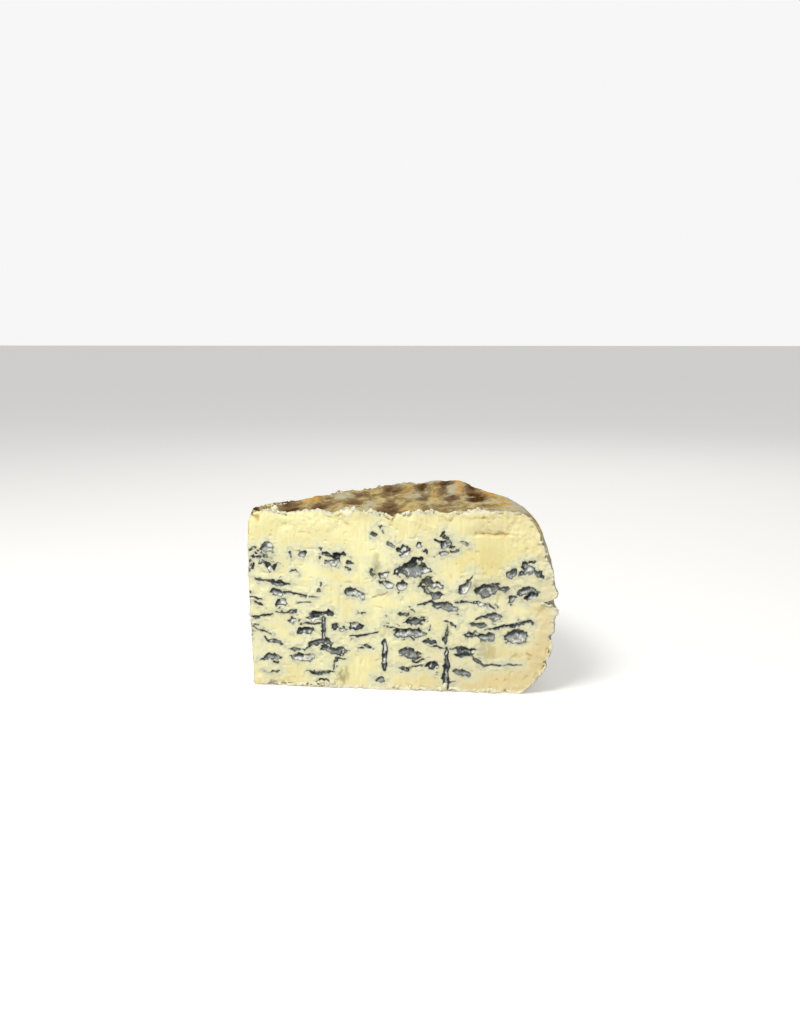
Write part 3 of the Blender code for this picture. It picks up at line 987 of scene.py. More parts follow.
# %% List the front cut's slits and needle channels
# half width, tone, and the path
FRONT_SLITS = [
    (0.35, 0.3, [(19.8, 67.4), (18.9, 66.2), (19.2, 64.8), (20.0, 64.2)]),
    (0.40, 0.3, [(19.2, 57.2), (20.2, 58.3), (21.6, 58.2), (22.4, 57.2)]),
    (0.55, 0.15, [(1.5, 53.3), (5.0, 52.9), (9.0, 52.6), (14.0, 52.2), (19.5, 51.0)]),
    (0.60, 0.15, [(14.0, 46.8), (17.0, 46.9), (21.0, 46.5), (24.5, 45.8), (26.5, 45.4)]),
    (0.30, 0.4, [(28.0, 45.3), (30.0, 45.2), (32.0, 45.0)]),
    (0.50, 0.2, [(-1.5, 43.9), (2.0, 43.8), (5.3, 43.2)]),
    (0.60, 0.25, [(0.3, 42.2), (3.0, 41.0), (5.6, 40.3)]),
    (0.30, 0.5, [(22.0, 41.4), (25.0, 42.2), (29.0, 42.4)]),
    (0.15, 0.5, [(61.7, 80.0), (63.0, 78.8), (64.2, 77.6)]),
    (0.40, 0.2, [(80.6, 42.3), (83.0, 43.3), (86.7, 44.2), (89.0, 43.0)]),
    (0.25, 0.5, [(99.8, 73.0), (101.5, 72.9), (104.2, 71.9), (103.6, 71.3), (101.0, 72.0)]),
    (0.30, 0.3, [(98.5, 44.2), (102.0, 44.0), (105.6, 43.8)]),
    (0.30, 0.3, [(113.0, 44.0), (115.0, 42.4), (117.0, 41.2)]),
    (0.60, 0.15, [(-2.0, 34.6), (2.0, 34.3), (5.0, 34.8), (9.6, 35.6)]),
    (0.45, 0.2, [(23.0, 31.3), (27.0, 31.9), (31.0, 31.8), (35.0, 32.2)]),
    (0.40, 0.3, [(-2.0, 30.5), (1.0, 30.2), (3.0, 30.5)]),
    (0.55, 0.15, [(-0.8, 29.0), (3.0, 27.6), (6.0, 26.6), (9.2, 24.9)]),
    (0.40, 0.3, [(5.3, 23.5), (9.0, 22.4), (14.2, 21.2)]),
    (0.40, 0.3, [(26.7, 19.7), (29.0, 20.6), (31.0, 21.5)]),
    (0.55, 0.3, [(17.0, 18.6), (20.0, 18.1), (23.5, 18.4)]),
    (0.35, 0.3, [(1.8, 12.6), (4.5, 13.4)]),
    (0.35, 0.3, [(11.0, 14.4), (14.4, 14.2)]),
    (0.35, 0.3, [(9.8, 12.2), (12.6, 11.3)]),
    (0.40, 0.2, [(4.6, 6.7), (6.5, 6.2), (9.0, 7.2), (10.5, 6.6), (12.4, 7.5)]),
    (0.95, 0.2, [(27.4, 7.6), (31.0, 6.6), (35.0, 7.2), (39.6, 8.2)]),
    (0.45, 0.3, [(39.0, 8.5), (39.4, 12.0), (41.0, 14.9), (46.0, 15.0)]),
    (0.50, 0.25, [(47.8, 26.3), (52.0, 26.3), (56.0, 26.8), (61.7, 28.5)]),
    (0.40, 0.2, [(51.4, 20.1), (54.6, 20.0)]),
    (0.50, 0.4, [(77.0, 26.5), (78.2, 25.2), (78.9, 24.3)]),
    (0.40, 0.2, [(64.0, 31.8), (67.0, 31.3), (70.0, 30.8)]),
    (0.40, 0.2, [(77.0, 11.4), (80.0, 12.3), (83.0, 12.6)]),
    (0.35, 0.3, [(94.5, 4.6), (96.7, 4.4), (98.4, 4.8)]),
    (0.75, 0.0, [(112.0, 31.2), (118.0, 32.2), (124.0, 33.2), (129.0, 34.6), (133.5, 35.6)]),
    (0.35, 0.35, [(108.0, 15.0), (111.7, 13.4), (118.0, 13.4), (124.0, 14.2), (130.0, 14.5)]),
    (0.85, 0.05, [(96.0, 21.2), (100.0, 21.6), (104.0, 21.0), (109.0, 21.5)]),
    (1.00, 0.05, [(98.0, 18.6), (101.0, 17.9), (104.0, 18.7), (107.0, 19.2)]),
    (0.90, 0.4, [(106.5, 18.0), (108.5, 15.5), (111.0, 13.8)]),
    (0.45, 0.3, [(94.0, 21.0), (93.8, 25.0), (94.3, 29.0), (93.9, 33.0)]),
]
# along the cut, lower end, upper end, half width, how pale the core is
FRONT_CHANNELS = [
    (34.9, 23.0, 35.5, 1.1, 0.85),
    (64.4, 9.0, 25.0, 1.45, 0.95),
    (94.1, -1.0, 22.0, 1.35, 0.6),
]
# paste that reaches into an eye: along, height, half sizes, lean
FRONT_TONGUES = [(81.4, 62.2, 1.7, 0.9, -30), (79.5, 66.2, 2.0, 0.7, 8)]
# lumps of dry white mould: along, height, radius
FRONT_LUMPS = [
    (9.8, 69.6, 1.4),
    (5.0, 64.6, 1.1),
    (5.4, 61.4, 1.0),
    (-0.6, 58.8, 1.0),
    (1.6, 68.2, 0.8),
    (9.4, 68.8, 0.9),
    (9.2, 59.4, 1.0),
    (25.0, 28.0, 0.9),
    (28.2, 27.7, 0.8),
    (135.4, 47.0, 1.5),
    (110.2, 43.6, 1.3),
    (107.6, 43.4, 0.9),
    (128.6, 27.4, 2.0),
    (64.6, 56.2, 1.6),
    (72.6, 50.2, 1.5),
    (102.2, 49.4, 1.6),
    (39.4, 61.8, 1.3),
    (49.6, 46.8, 1.4),
    (19.2, 33.0, 1.1),
    (74.7, 66.8, 1.0),
    (71.8, 57.0, 0.7),
    (31.5, 34.4, 0.9),
    (96.5, 70.0, 0.7),
    (44.6, 29.8, 0.9),
]
# olive stains: along, height, half sizes, lean, strength
FRONT_OLIVE = [
    (7.6, 64.2, 1.8, 2.4, 0, 0.6),
    (59.6, 60.5, 1.9, 6.0, -6, 1.0),
    (38.0, 19.0, 1.6, 1.2, 0, 0.5),
    (43.8, 6.8, 2.8, 4.2, -10, 0.85),
    (113.0, 21.4, 3.4, 4.8, 0, 0.45),
    (116.4, 19.0, 2.0, 3.0, 0, 0.4),
    (84.0, 53.4, 3.0, 2.4, 0, 0.85),
    (86.5, 49.0, 3.6, 2.6, 0, 0.5),
    (113.0, 50.6, 8.5, 5.0, 10, 0.4),
    (64.4, 29.5, 1.7, 3.4, 0, 0.35),
    (94.0, 31.0, 1.9, 5.0, 0, 0.4),
    (75.5, 21.0, 6.0, 1.6, 0, 0.15),
    (101.0, 45.8, 4.0, 1.2, 0, 0.35),
    (75.5, 37.4, 3.4, 0.9, 0, 0.5),
    (108.5, 33.5, 5.0, 1.6, -5, 0.35),
]
GOLD_ZONE = (110.0, 67.0, 26.0, 13.0)  # where the paste is a deeper yellow
# ochre lines, partly the yellow of cracks and partly painted shade in their creases: half width, strength,
# and the path
FRONT_OCHRE = [
    (0.30, 0.6, [(35.0, 84.0), (38.0, 83.6), (41.0, 84.1)]),
    (0.35, 0.7, [(42.0, 83.6), (44.5, 83.9), (46.0, 82.9)]),
    (0.30, 0.5, [(41.5, 81.2), (44.5, 82.0), (47.0, 81.6)]),
    (0.40, 0.8, [(59.0, 44.8), (62.0, 46.2), (65.3, 47.4)]),
    (0.25, 0.5, [(95.8, 56.6), (97.4, 56.3)]),
    (0.25, 0.5, [(100.6, 56.4), (102.8, 56.8)]),
    (0.50, 0.8, [(126.8, 24.6), (130.0, 25.4), (134.4, 25.8)]),
    (0.45, 0.8, [(133.2, 20.4), (134.0, 19.4), (132.4, 18.2)]),
    (0.25, 0.6, [(123.9, 15.8), (126.0, 17.6), (128.0, 19.2), (130.0, 18.4)]),
    # painted shadow in the hollow just above the ledge's edge, under the shoulder
    (0.70, 0.7, [(108.0, 77.2), (112.0, 76.9), (119.0, 76.9), (123.0, 77.2)]),
    (0.60, 0.9, [(65.5, 84.6), (68.0, 83.8), (69.5, 84.8)]),
    (1.20, 1.0, [(0.6, 85.4), (2.2, 84.0), (2.8, 82.0)]),
    (0.50, 0.8, [(-1.2, 84.0), (-0.9, 80.0), (-0.4, 75.0)]),
    (0.45, 0.45, [(86.0, 84.4), (92.0, 84.2), (98.0, 83.8), (104.0, 84.2), (112.0, 83.6)]),
    (0.40, 0.35, [(20.0, 83.6), (25.0, 84.0), (30.0, 83.4)]),
]
print(len(FRONT_SLITS), "slits and", len(FRONT_CHANNELS), "needle channels")


# %% [markdown]
# ## From lists to fields
#
# Every vein is turned into a distance: negative inside, positive outside. Distances are easy to
# join, since the nearest vein is the smallest distance, and depth, mould and the pale halo are all
# functions of them. An eye is deepest under its roof and its floor ramps up to the lower lip,
# which is why real eyes look black above and catch the light below. The eye's tone paints the
# same thing in as well: painted shade under the roof and painted light on the floor and lip.

# %% Measure the distance to each kind of vein
def ellipse_distance(x, z, middle_x, middle_z, half_x, half_z, lean):
    """Distance to an ellipse's edge, k(k - 1)/|gradient| with k the scaled radius, and the place in it."""
    c, s = math.cos(math.radians(lean)), math.sin(math.radians(lean))
    along = (x - middle_x) * c + (z - middle_z) * s
    up = (z - middle_z) * c - (x - middle_x) * s
    k = np.hypot(along / half_x, up / half_z)
    slope = np.hypot(along / half_x**2, up / half_z**2)
    distance = k * (k - 1) / np.maximum(slope, 1e-6) - (k < 1e-3) * min(half_x, half_z)
    return distance, along / half_x, up / half_z


def path_distance(x, z, points):
    """Distance to the nearest of a path's straight spans, and the share of the path travelled there."""
    nearest, travelled = np.full(x.shape, 1e3), np.zeros(x.shape)
    count = len(points) - 1
    for i, ((x0, z0), (x1, z1)) in enumerate(zip(points, points[1:])):
        dx, dz = x1 - x0, z1 - z0
        t = np.clip(((x - x0) * dx + (z - z0) * dz) / (dx * dx + dz * dz), 0, 1)
        gap = np.hypot(x - x0 - t * dx, z - z0 - t * dz)
        closer = gap < nearest
        nearest = np.where(closer, gap, nearest)
        travelled = np.where(closer, (i + t) / count, travelled)
    return nearest, travelled


beside_eye, _, _ = ellipse_distance(np.array([0.5, 3.0]), np.zeros(2), 0.0, 0.0, 2.0, 1.0, 0.0)
print("inside and beside an eye of 4 by 2 mm:", beside_eye.round(2))


# %% Join them into fields over a cut
HALO_REACH = 3.6  # how far from a vein the paste is paler
NO_VEIN_NEAR = 9.0  # the distance given to a place that no vein touches


def paint(fields, distance, tone, depth, edge=0.35):
    """Lays one vein over the fields: nearest distance, deepest depth, and its own tone where it covers."""
    cover = step_up(distance, edge, -edge)
    fields["tone"] = fields["tone"] * (1 - cover) + tone * cover
    fields["vein"] = np.minimum(fields["vein"], distance)
    fields["depth"] = np.maximum(fields["depth"], depth * (1 - np.exp(np.minimum(distance, 0) / 0.5)))


def bend(x, z, amount, seed):
    """Places pushed about by three sizes of noise, so that ellipses and paths come out ragged."""
    push_x = 0.95 * noise(x, z, 0, 3.6, seed) + 0.60 * noise(x, z, 0, 1.6, seed + 1)
    push_z = 0.75 * noise(x, z, 0, 3.6, seed + 2) + 0.50 * noise(x, z, 0, 1.5, seed + 3)
    push_x = push_x + 0.34 * noise(x, z, 1, 0.8, seed + 10)
    push_z = push_z + 0.30 * noise(x, z, 1, 0.8, seed + 11)
    return x + amount * push_x, z + amount * push_z


def open_eyes(fields, x, z, eyes, seed):
    """Each eye is deep, with painted shade, under its roof, up and left; its floor ramps up to a lower lip of
    painted light.
    """
    spurs = 0.50 * noise(x, z, 4, (2.0, 1.4, 1.0), seed + 15)
    spurs = spurs + 0.30 * noise(x, z, 4, (0.9, 0.8, 1.0), seed + 19)
    for eye_x, eye_z, half_x, half_z, lean, depth, pale in eyes:
        distance, across, up = ellipse_distance(x, z, eye_x, eye_z, half_x, half_z, lean)
        distance = distance + spurs * min(1.2, half_z)
        # floor is the lower, lit part and carries painted light; roof is the upper part, where painted shade
        # goes
        floor = step_up(up - 0.3 * across, 0.65, -0.55)
        roof = step_up(up - 0.3 * across, -0.6, 0.5)
        # a darker ring just inside the edge, strongest under the roof: partly the mould's edge, partly
        # painted shade
        ring = step_up(distance, -0.6, -0.1) * (0.25 + 0.65 * roof)
        paint(fields, distance, (0.08 + 0.92 * pale) * floor * (1 - ring), depth * (1.0 - 0.62 * floor))


def open_slits(fields, x, z, slits, seed):
    """Each slit swells and thins along its path, and thins out at both ends."""
    swell = 1 + 0.6 * noise(x, z, 3, 1.6, seed + 4)
    spurs = 0.30 * noise(x, z, 5, (1.2, 0.7, 1.0), seed + 16)
    for half_width, tone, points in slits:
        gap, travelled = path_distance(x, z, points)
        thin = np.sqrt(np.clip(4 * travelled * (1 - travelled), 0.1, 1)) * swell
        paint(fields, gap - 0.9 * half_width * thin + spurs, tone + 0.12, 1.2 + 0.6 * half_width)


def open_channels(fields, x, z, channels, seed):
    """Each needle channel is a tall lens with two dark sides, a paler core and breaks along it."""
    for channel_x, low, high, half_width, pale in channels:
        middle, half = (low + high) / 2, (high - low) / 2
        side = x + 0.4 * noise(x, z, 5, 4.0, seed + 5) + 0.34 * noise(x, z, 5, 1.1, seed + 17) - channel_x
        swell = 1 + 0.45 * noise(x, z, 7, 2.2, seed + 6)
        lens = half_width * np.clip(1 - ((z - middle) / half) ** 2, 0, 1) ** 0.45 * swell
        beyond = np.abs(z - middle) - half
        distance = np.where(beyond < 0, np.abs(side) - lens, np.hypot(side, beyond))
        core = step_up(np.abs(side), 0.55 * half_width, 0.2 * half_width) * step_up(lens, 0.4, 0.9)
        core = core * step_up(noise(x, z, 7, (3.0, 2.6, 3.0), seed + 18), -0.7, 0.2)
        paint(fields, distance, core * pale, 1.7 - 1.0 * core)


def lay_growths(fields, x, z, tongues, lumps, seed):
    """Tongues of paste close part of an eye, lumps of dry mould stand in it, and scraps lie on its floor."""
    for tongue_x, tongue_z, half_x, half_z, lean in tongues:
        distance, _, _ = ellipse_distance(x, z, tongue_x, tongue_z, half_x, half_z, lean)
        fields["vein"] = np.maximum(fields["vein"], -distance)
        fields["depth"] = fields["depth"] * step_up(distance, -0.4, 0.5)
    for lump_x, lump_z, radius in lumps:
        bulge = np.sqrt(np.clip(1 - np.hypot(x - lump_x, z - lump_z) / radius, 0, 1))
        fields["tone"] = np.maximum(fields["tone"], 1.05 * bulge)
        fields["depth"] = fields["depth"] * (1 - 0.7 * bulge)
    inside = step_up(fields["vein"], -0.2, -0.9)
    dark_bits = step_up(noise(x, z, 11, (1.5, 1.0, 1.0), seed + 34), 0.25, 0.7) * inside
    fields["tone"] = fields["tone"] * (1 - 0.45 * dark_bits)
    scraps = step_up(noise(x, z, 8, (1.6, 1.1, 1.0), seed + 13), 0.24, 0.56) * inside
    shallow = step_up(fields["depth"], 3.0, 1.5)
    fields["tone"] = fields["tone"] + scraps * (0.4 + 0.5 * shallow) * (0.9 - fields["tone"])
    fields["depth"] = fields["depth"] * (1 - 0.45 * scraps)
    flecks = 1.5 * (0.71 - noise(x, z, 6, (1.6, 0.9, 1.0), seed + 12))
    fields["vein"] = np.minimum(fields["vein"], np.maximum(flecks, fields["vein"] - 1.5))


def stain(fields, x, z, olive, ochre, seed):
    """Olive stains with soft upright streaks, thin broken ochre lines of crack colour and painted crease
    shade, and broad yellower zones.
    """
    gold_x, gold_z, half_x, half_z = GOLD_ZONE
    away = np.hypot((x - gold_x) / half_x, (z - gold_z) / half_z) + 0.4 * noise(x, z, 6, 12.0, seed + 35)
    fields["gold"] = 0.75 * step_up(away, 1.3, 0.3)
    fields["olive"] = np.zeros(x.shape)
    upright = np.clip(0.6 + 0.7 * noise(x, z, 9, (0.8, 9.0, 3.0), seed + 7), 0, 1)
    for stain_x, stain_z, half_x, half_z, lean, strength in olive:
        distance, _, _ = ellipse_distance(x, z, stain_x, stain_z, half_x, half_z, lean)
        soft = step_up(distance, 1.4, -1.4) * strength * upright
        fields["olive"] = np.maximum(fields["olive"], soft)
    fields["ochre"] = np.zeros(x.shape)
    broken = np.clip(0.55 + 0.7 * noise(x, z, 8, 2.4, seed + 14), 0, 1)
    for half_width, strength, points in ochre:
        gap, _ = path_distance(x, z, points)
        line = step_up(gap, half_width + 0.5, 0.0) * broken
        fields["ochre"] = np.maximum(fields["ochre"], strength * line)
        cut_in = step_up(gap, half_width + 0.2, 0.0) * broken
        fields["depth"] = np.maximum(fields["depth"], strength * cut_in)


def vein_fields(x, z, eyes, slits, channels, tongues, lumps, olive, ochre, seed):
    """All veins of one cut at points (x, z): distance, tone, depth, halo, gold, olive and ochre."""
    fields = {"vein": np.full(x.shape, NO_VEIN_NEAR), "tone": np.full(x.shape, 0.25)}
    fields["depth"] = np.zeros(x.shape)
    bent = bend(x, z, 1.35, seed)
    open_eyes(fields, *bent, eyes, seed)
    open_slits(fields, *bend(x, z, 0.65, seed), slits, seed)
    open_channels(fields, x, z, channels, seed)
    lay_growths(fields, *bent, tongues, lumps, seed)
    stain(fields, *bent, olive, ochre, seed)
    wide = fields["vein"] + 0.7 * noise(x, z, 2, 4.0, seed + 8) + 0.2 * noise(x, z, 4, 1.5, seed + 9)
    fields["halo"] = 0.9 * step_up(wide, HALO_REACH, 0.0)
    return fields


sample_fields = vein_fields(np.array([8.3]), np.array([68.5]), FRONT_EYES[:1], *[()] * 6, FRONT_SEED)
print("fields in the first eye:", {name: float(value[0].round(2)) for name, value in sample_fields.items()})


# %% [markdown]
# ## One cut as a surface
#
# The cut's grid has one row for each height and one column for each step along the cut, wrapped
# round the point at its near end and pulled to the rim's curve at its far end. Two functions of
# place then push it: the wire's slow waves and the curd's small crags outwards, the veins inwards.
# A vein's depth also lifts its inner points, which undercuts the roof of every eye.

# %% Lay out a cut's grid
def cut_layout():
    """Along, height and both shares of every grid point before relief, pulled to the rim's curve."""
    arc_angle = math.pi / 2 - HALF_ANGLE
    start = TANGENT_X - POINT_RADIUS * arc_angle
    far = RIM_OUTLINE[7][0] + CUT_START
    cols = int((far - start) / CUT_STEP) + 1
    rows = int(WHEEL_HEIGHT / CUT_STEP) + 1
    share, up = np.meshgrid(np.linspace(0, 1, cols), np.linspace(0, 1, rows))
    along = start + share * (far - start)
    height = up * WHEEL_HEIGHT
    rim_along, rim_height = rim_at(up)
    rim_along = rim_along + rim_break(rim_height, 0.0)
    pull = step_up(share, 0.70, 1.0)
    along = along + pull * (rim_along - far)
    height = height + pull * (rim_height - up * WHEEL_HEIGHT)
    rise_here = crest(along - CUT_START) - pull * crest(RIM_OUTLINE[-1][0])
    height = height + step_up(up, 0.85, 1.0) * rise_here
    return along, height, share, up


def around_point(along):
    """Plan place and outward direction: straight along the cut, then round the point's arc."""
    turned = np.clip((TANGENT_X - along) / POINT_RADIUS, 0, math.pi / 2 - HALF_ANGLE)
    out_x, out_y = -np.sin(turned), -np.cos(turned)
    plan_x = np.where(along > TANGENT_X, along, TANGENT_X + POINT_RADIUS * out_x)
    plan_y = np.where(along > TANGENT_X, 0.0, POINT_RADIUS * (1 + out_y))
    return plan_x, plan_y, out_x, out_y


cut_along, cut_height, cut_share, cut_up = cut_layout()
print("cut grid:", cut_along.shape, "points")


# %% Push the grid into relief
LEDGE_HEIGHT = 76.3  # above it, under the shoulder of the front cut, a slab of paste broke away
LEDGE_MIDDLE, LEDGE_HALF = 115.0, 12.5
LEDGE_DROP = 2.2


def paste_relief(x, z, from_rim, under_top, seed):
    """Waves, upright wire lines, crags near the edges and soft lumps, added up, less small pits."""
    near_edge = np.exp(-np.minimum(under_top, from_rim) / 5.0) + np.exp(-z / 2.0)
    waves = 0.45 * noise(x, z, 0, 18.0, seed + 20) + 0.20 * noise(x, z, 0, (7.0, 22.0, 3.0), seed + 28)
    wire = 0.13 * noise(x, z, 1, (0.95, 11.0, 3.0), seed + 21)
    wire = wire + 0.11 * noise(x, z, 1, (2.3, 26.0, 3.0), seed + 22)
    torn = step_up(noise(x, z, 2, 11.0, seed + 23) + 1.2 * near_edge, 0.05, 0.8)
    crags = torn * (0.50 * cloud(x, z, 3, 3.6, seed + 24) + 0.22 * noise(x, z, 4, 1.0, seed + 25))
    grainy = step_up(from_rim, 24.0, 8.0) * step_up(z, 34.0, 46.0)
    crags = crags + 0.30 * grainy * cloud(x, z, 6, 1.5, seed + 44, 2)
    smooth_lumps = 0.17 * cloud(x, z, 5, 5.0, seed + 26, 3)
    pits = step_up(noise(x, z, 7, (2.4, 2.0, 1.0), seed + 29), 0.62, 0.88)
    return waves + wire + crags + smooth_lumps - 0.5 * pits


def shoulder_ledge(x, z, seed):
    """Height over the ragged ledge, never below 0, and 1 where the slab over it is gone, 0 elsewhere."""
    ledge = LEDGE_HEIGHT + 0.7 * noise(x, 0, 4, 4.5, seed + 38) + 0.25 * noise(x, 0, 4, 1.5, seed + 43)
    slab = step_up(np.abs(x - LEDGE_MIDDLE), LEDGE_HALF, 6.0) * step_up(z - ledge, -0.35, 0.25)
    return np.maximum(z - ledge, 0.0), slab


def edge_frost(x, z, from_rim, under_top, ridge, seed):
    """White frosting: a band under the torn edge, wider at its lumps, one at the foot, one at the rim."""
    reach = -0.2 + 0.8 * np.clip(ridge, 0, 2) + 1.0 * noise(x, 0, 3, 2.6, seed + 32)
    reach = reach + 0.5 * noise(x, z, 3, 0.9, seed + 36)
    at_top = step_up(under_top, reach + 1.1, reach - 0.5)
    at_foot = 0.9 * step_up(z + 0.8 * noise(x, 0, 8, 2.0, seed + 39), 2.2, 0.7)
    at_rim = 0.7 * step_up(from_rim + 0.8 * noise(x, z, 3, 2.0, seed + 33), 1.8, 0.2)
    return at_top + at_foot + at_rim


def beige_share(x, z, from_rim):
    """How beige the paste is: most at the foot, then by the rim under the shoulder, then low and far out."""
    warm = 0.75 * np.exp(-z / 5.0)
    warm = warm + 0.8 * step_up(from_rim, 16.0, 2.0) * (1 - 0.7 * step_up(z, 46.0, 62.0))
    warm = warm + 0.45 * step_up(z, 34.0, 8.0) * step_up(x, 60.0, 118.0)
    return np.clip(warm + 0.25 * step_up(x, 60.0, 120.0), 0, 1)


print("ledge at", LEDGE_HEIGHT, "mm, from", LEDGE_MIDDLE - LEDGE_HALF, "to", LEDGE_MIDDLE + LEDGE_HALF)


# %% Put a cut's face together
def cut_sheet(veins, edge_lumps, seed, on_front):
    """The dense sheet of one cut: relief less the veins' depth, torn above and bitten below, with fields."""
    x, z = cut_along - CUT_START, cut_height
    fields = vein_fields(x, z, *veins, seed)
    from_rim = np.hypot(*(np.array(rim_at(cut_up)) - [cut_along, cut_height]))
    under_top = np.maximum(WHEEL_HEIGHT + crest(x) - z, 0.0)
    lift = paste_relief(x, z, from_rim, under_top, seed) - fields["depth"]
    lip = 0.12 + 0.18 * noise(x, z, 9, 2.0, seed + 31)
    lift = lift + lip * step_up(fields["vein"], 1.6, 0.2) * step_up(fields["vein"], -0.6, 0.2)
    over, slab = shoulder_ledge(x, z, seed)
    slab = on_front * slab
    lift = lift - LEDGE_DROP * slab * np.exp(-over / 2.6)
    slab = slab * step_up(over, 9.0, 3.0)
    foot_lumps = 0.6 + 0.9 * noise(x, z, 6, 1.7, seed + 27) + 0.5 * noise(x, z, 6, 0.8, seed + 42)
    lift = lift + 0.75 * np.exp(-z / 1.5) * foot_lumps
    lift = lift * step_up(cut_share, 0.0, 0.012)
    ridge = ridge_height(x, edge_lumps, seed + RIDGE_SHIFT)
    frost = edge_frost(x, z, from_rim, under_top, ridge, seed)
    # near the ledge the frost is raised a little: partly paler paste, partly painted light in the hollow
    fields["frost"] = np.clip(frost + 0.2 * slab, 0, 1) * step_up(x, 3.0, 6.0)
    # grey by the rim under the shoulder: partly the paste's dry grey, partly painted shade where the cut
    # turns to the rim
    rim_grey_and_shade = step_up(from_rim + 2.5 * noise(x, z, 4, 5.0, seed + 37), 9.0, 1.0)
    rim_grey_and_shade = rim_grey_and_shade * step_up(z, 22.0, 34.0) * step_up(z, 74.0, 60.0)
    # the halo field here also carries that painted shade by the rim
    fields["halo"] = np.maximum(fields["halo"] * (1 - slab), 0.55 * rim_grey_and_shade)
    z = z + ridge * step_up(cut_up, 0.955, 1.0)
    bitten = noise(x, 0, 7, 4.2, seed + 40) + 0.7 * noise(x, 0, 7, 1.4, seed + 41) - 0.05
    bitten = 1.5 * (1 + 0.8 * step_up(x, 88.0, 108.0)) * np.clip(bitten, 0, 1.2)
    z = z + bitten * step_up(z, 3.5, 0.0) * step_up(cut_share, 0.02, 0.06)
    z = z + 0.42 * fields["depth"] * step_up(cut_up, 0.0, 0.02) * step_up(cut_up, 1.0, 0.97)
    plan_x, plan_y, out_x, out_y = around_point(cut_along)
    points = np.stack([plan_x + out_x * lift, plan_y + out_y * lift, z], -1)
    under_rind = RIND_OVER_PASTE + 0.6 * step_up(cut_height, 58.0, 70.0)
    points[..., 0] -= under_rind * step_up(cut_share, 0.8, 1.0)
    fields["warmth"] = beige_share(x, z, from_rim)
    return lean_point(points), fields


# %% [markdown]
# ## Closing a cut into a solid
#
# Behind its dense face a cut piece is a plain sector that reaches to the wedge's middle plane.
# Its edge is swept about the wheel's axis, a little inside the rind, and capped on the middle
# plane. The dense edge is stitched to far fewer points there, since nobody sees them. By the
# point the sweep's corners miss the seam's, which leaves two slivers open on the hidden plane.

# %% Close a cut
PASTE_FIELDS = ("vein", "tone", "halo", "olive", "ochre", "warmth", "frost", "gold")
COARSE_EDGE = 90  # points of the hidden edge
COARSE_SEAM = 12
SWEEP_SHARES = (0.03, 0.35, 0.7, 1.0)  # of the way from the cut to the middle plane
SWEEP_IN, SWEEP_DOWN = 0.035, 0.09  # how much the hidden edge shrinks
SWEEP_BEHIND_FOOT = 0.24  # the least share low down, where the eyes are deep


def edge_loop(points):
    """The grid's edge from the point's foot, along the base, up the rim and back along the top."""
    return np.concatenate([points[0, :-1], points[:-1, -1], points[-1, ::-1]])


def hidden_sweep(edge):
    """The edge shrunk a little towards the section's middle and turned, step by step, to the middle plane."""
    radius = np.hypot(edge[:, 0], edge[:, 1])
    turn = np.arctan2(edge[:, 1], edge[:, 0])
    middle = np.array([70.0, WHEEL_HEIGHT / 2])
    free = step_up(radius, 4.0, 10.0)
    r = radius - free * SWEEP_IN * (radius - middle[0])
    z = edge[:, 2] - free * SWEEP_DOWN * (edge[:, 2] - middle[1])
    steps = []
    for share in SWEEP_SHARES:
        behind = np.maximum(share, SWEEP_BEHIND_FOOT * step_up(edge[:, 2], 60.0, 35.0))
        angle = turn + behind * (HALF_ANGLE - turn)
        steps.append(np.stack([r * np.cos(angle), r * np.sin(angle), z], -1))
    return np.array(steps)


def mirrored(points):
    """The same points on the other side of the wedge's middle plane."""
    c, s = math.cos(WEDGE_ANGLE), math.sin(WEDGE_ANGLE)
    x, y = points[..., 0], points[..., 1]
    return np.stack([x * c + y * s, x * s - y * c, points[..., 2]], -1)


def cut_piece(name, veins, edge_lumps, seed, on_back):
    """One cut piece: dense face, stitched edge, hidden sweep and the cap on the middle plane."""
    face, fields = cut_sheet(veins, edge_lumps, seed, not on_back)
    edge = edge_loop(face)
    sweep = hidden_sweep(repeat_to(edge, COARSE_EDGE))
    seam = face[::-1, 0]
    coarse_seam = repeat_to(seam, COARSE_SEAM)
    inner_loop = np.concatenate([sweep[-1], coarse_seam[1:]])
    cap = np.stack([inner_loop, np.broadcast_to(inner_loop.mean(0), inner_loop.shape)])
    coarse_start = repeat_to(sweep[0], len(edge))
    back_seam = repeat_to(coarse_seam, len(seam))
    sheets = [
        sheet(face, (0.01, 0.01, 0.99, 0.86), **fields),
        sheet(np.stack([edge, coarse_start]), (0.01, 0.88, 0.99, 0.90), flip=True, vein=NO_VEIN_NEAR),
        sheet(sweep, (0.01, 0.91, 0.99, 0.93), flip=True, vein=NO_VEIN_NEAR),
        sheet(np.stack([seam, back_seam]), (0.01, 0.94, 0.99, 0.95), flip=True, vein=NO_VEIN_NEAR),
        sheet(cap, (0.01, 0.96, 0.99, 0.99), flip=True, vein=NO_VEIN_NEAR),
    ]
    if on_back:
        for part in sheets:
            part["points"] = mirrored(part["points"])
            part["flip"] = not part["flip"]
    return piece_from_sheets(name, sheets, PASTE_FIELDS, paste_material)


front_openings = (FRONT_EYES, FRONT_SLITS, FRONT_CHANNELS)
front_veins = (*front_openings, FRONT_TONGUES, FRONT_LUMPS, FRONT_OLIVE, FRONT_OCHRE)
paste_front = cut_piece("paste_front", front_veins, FRONT_EDGE_LUMPS, FRONT_SEED, on_back=False)

# %% [markdown]
# ## The back cut
#
# The other cut of the same wheel shows the same kinds of vein in other places. They are drawn
# from one seeded generator: flat eyes, some of them big, slits, lumps and stains, beside two
# listed needle channels. An eye that would run into another is drawn again.

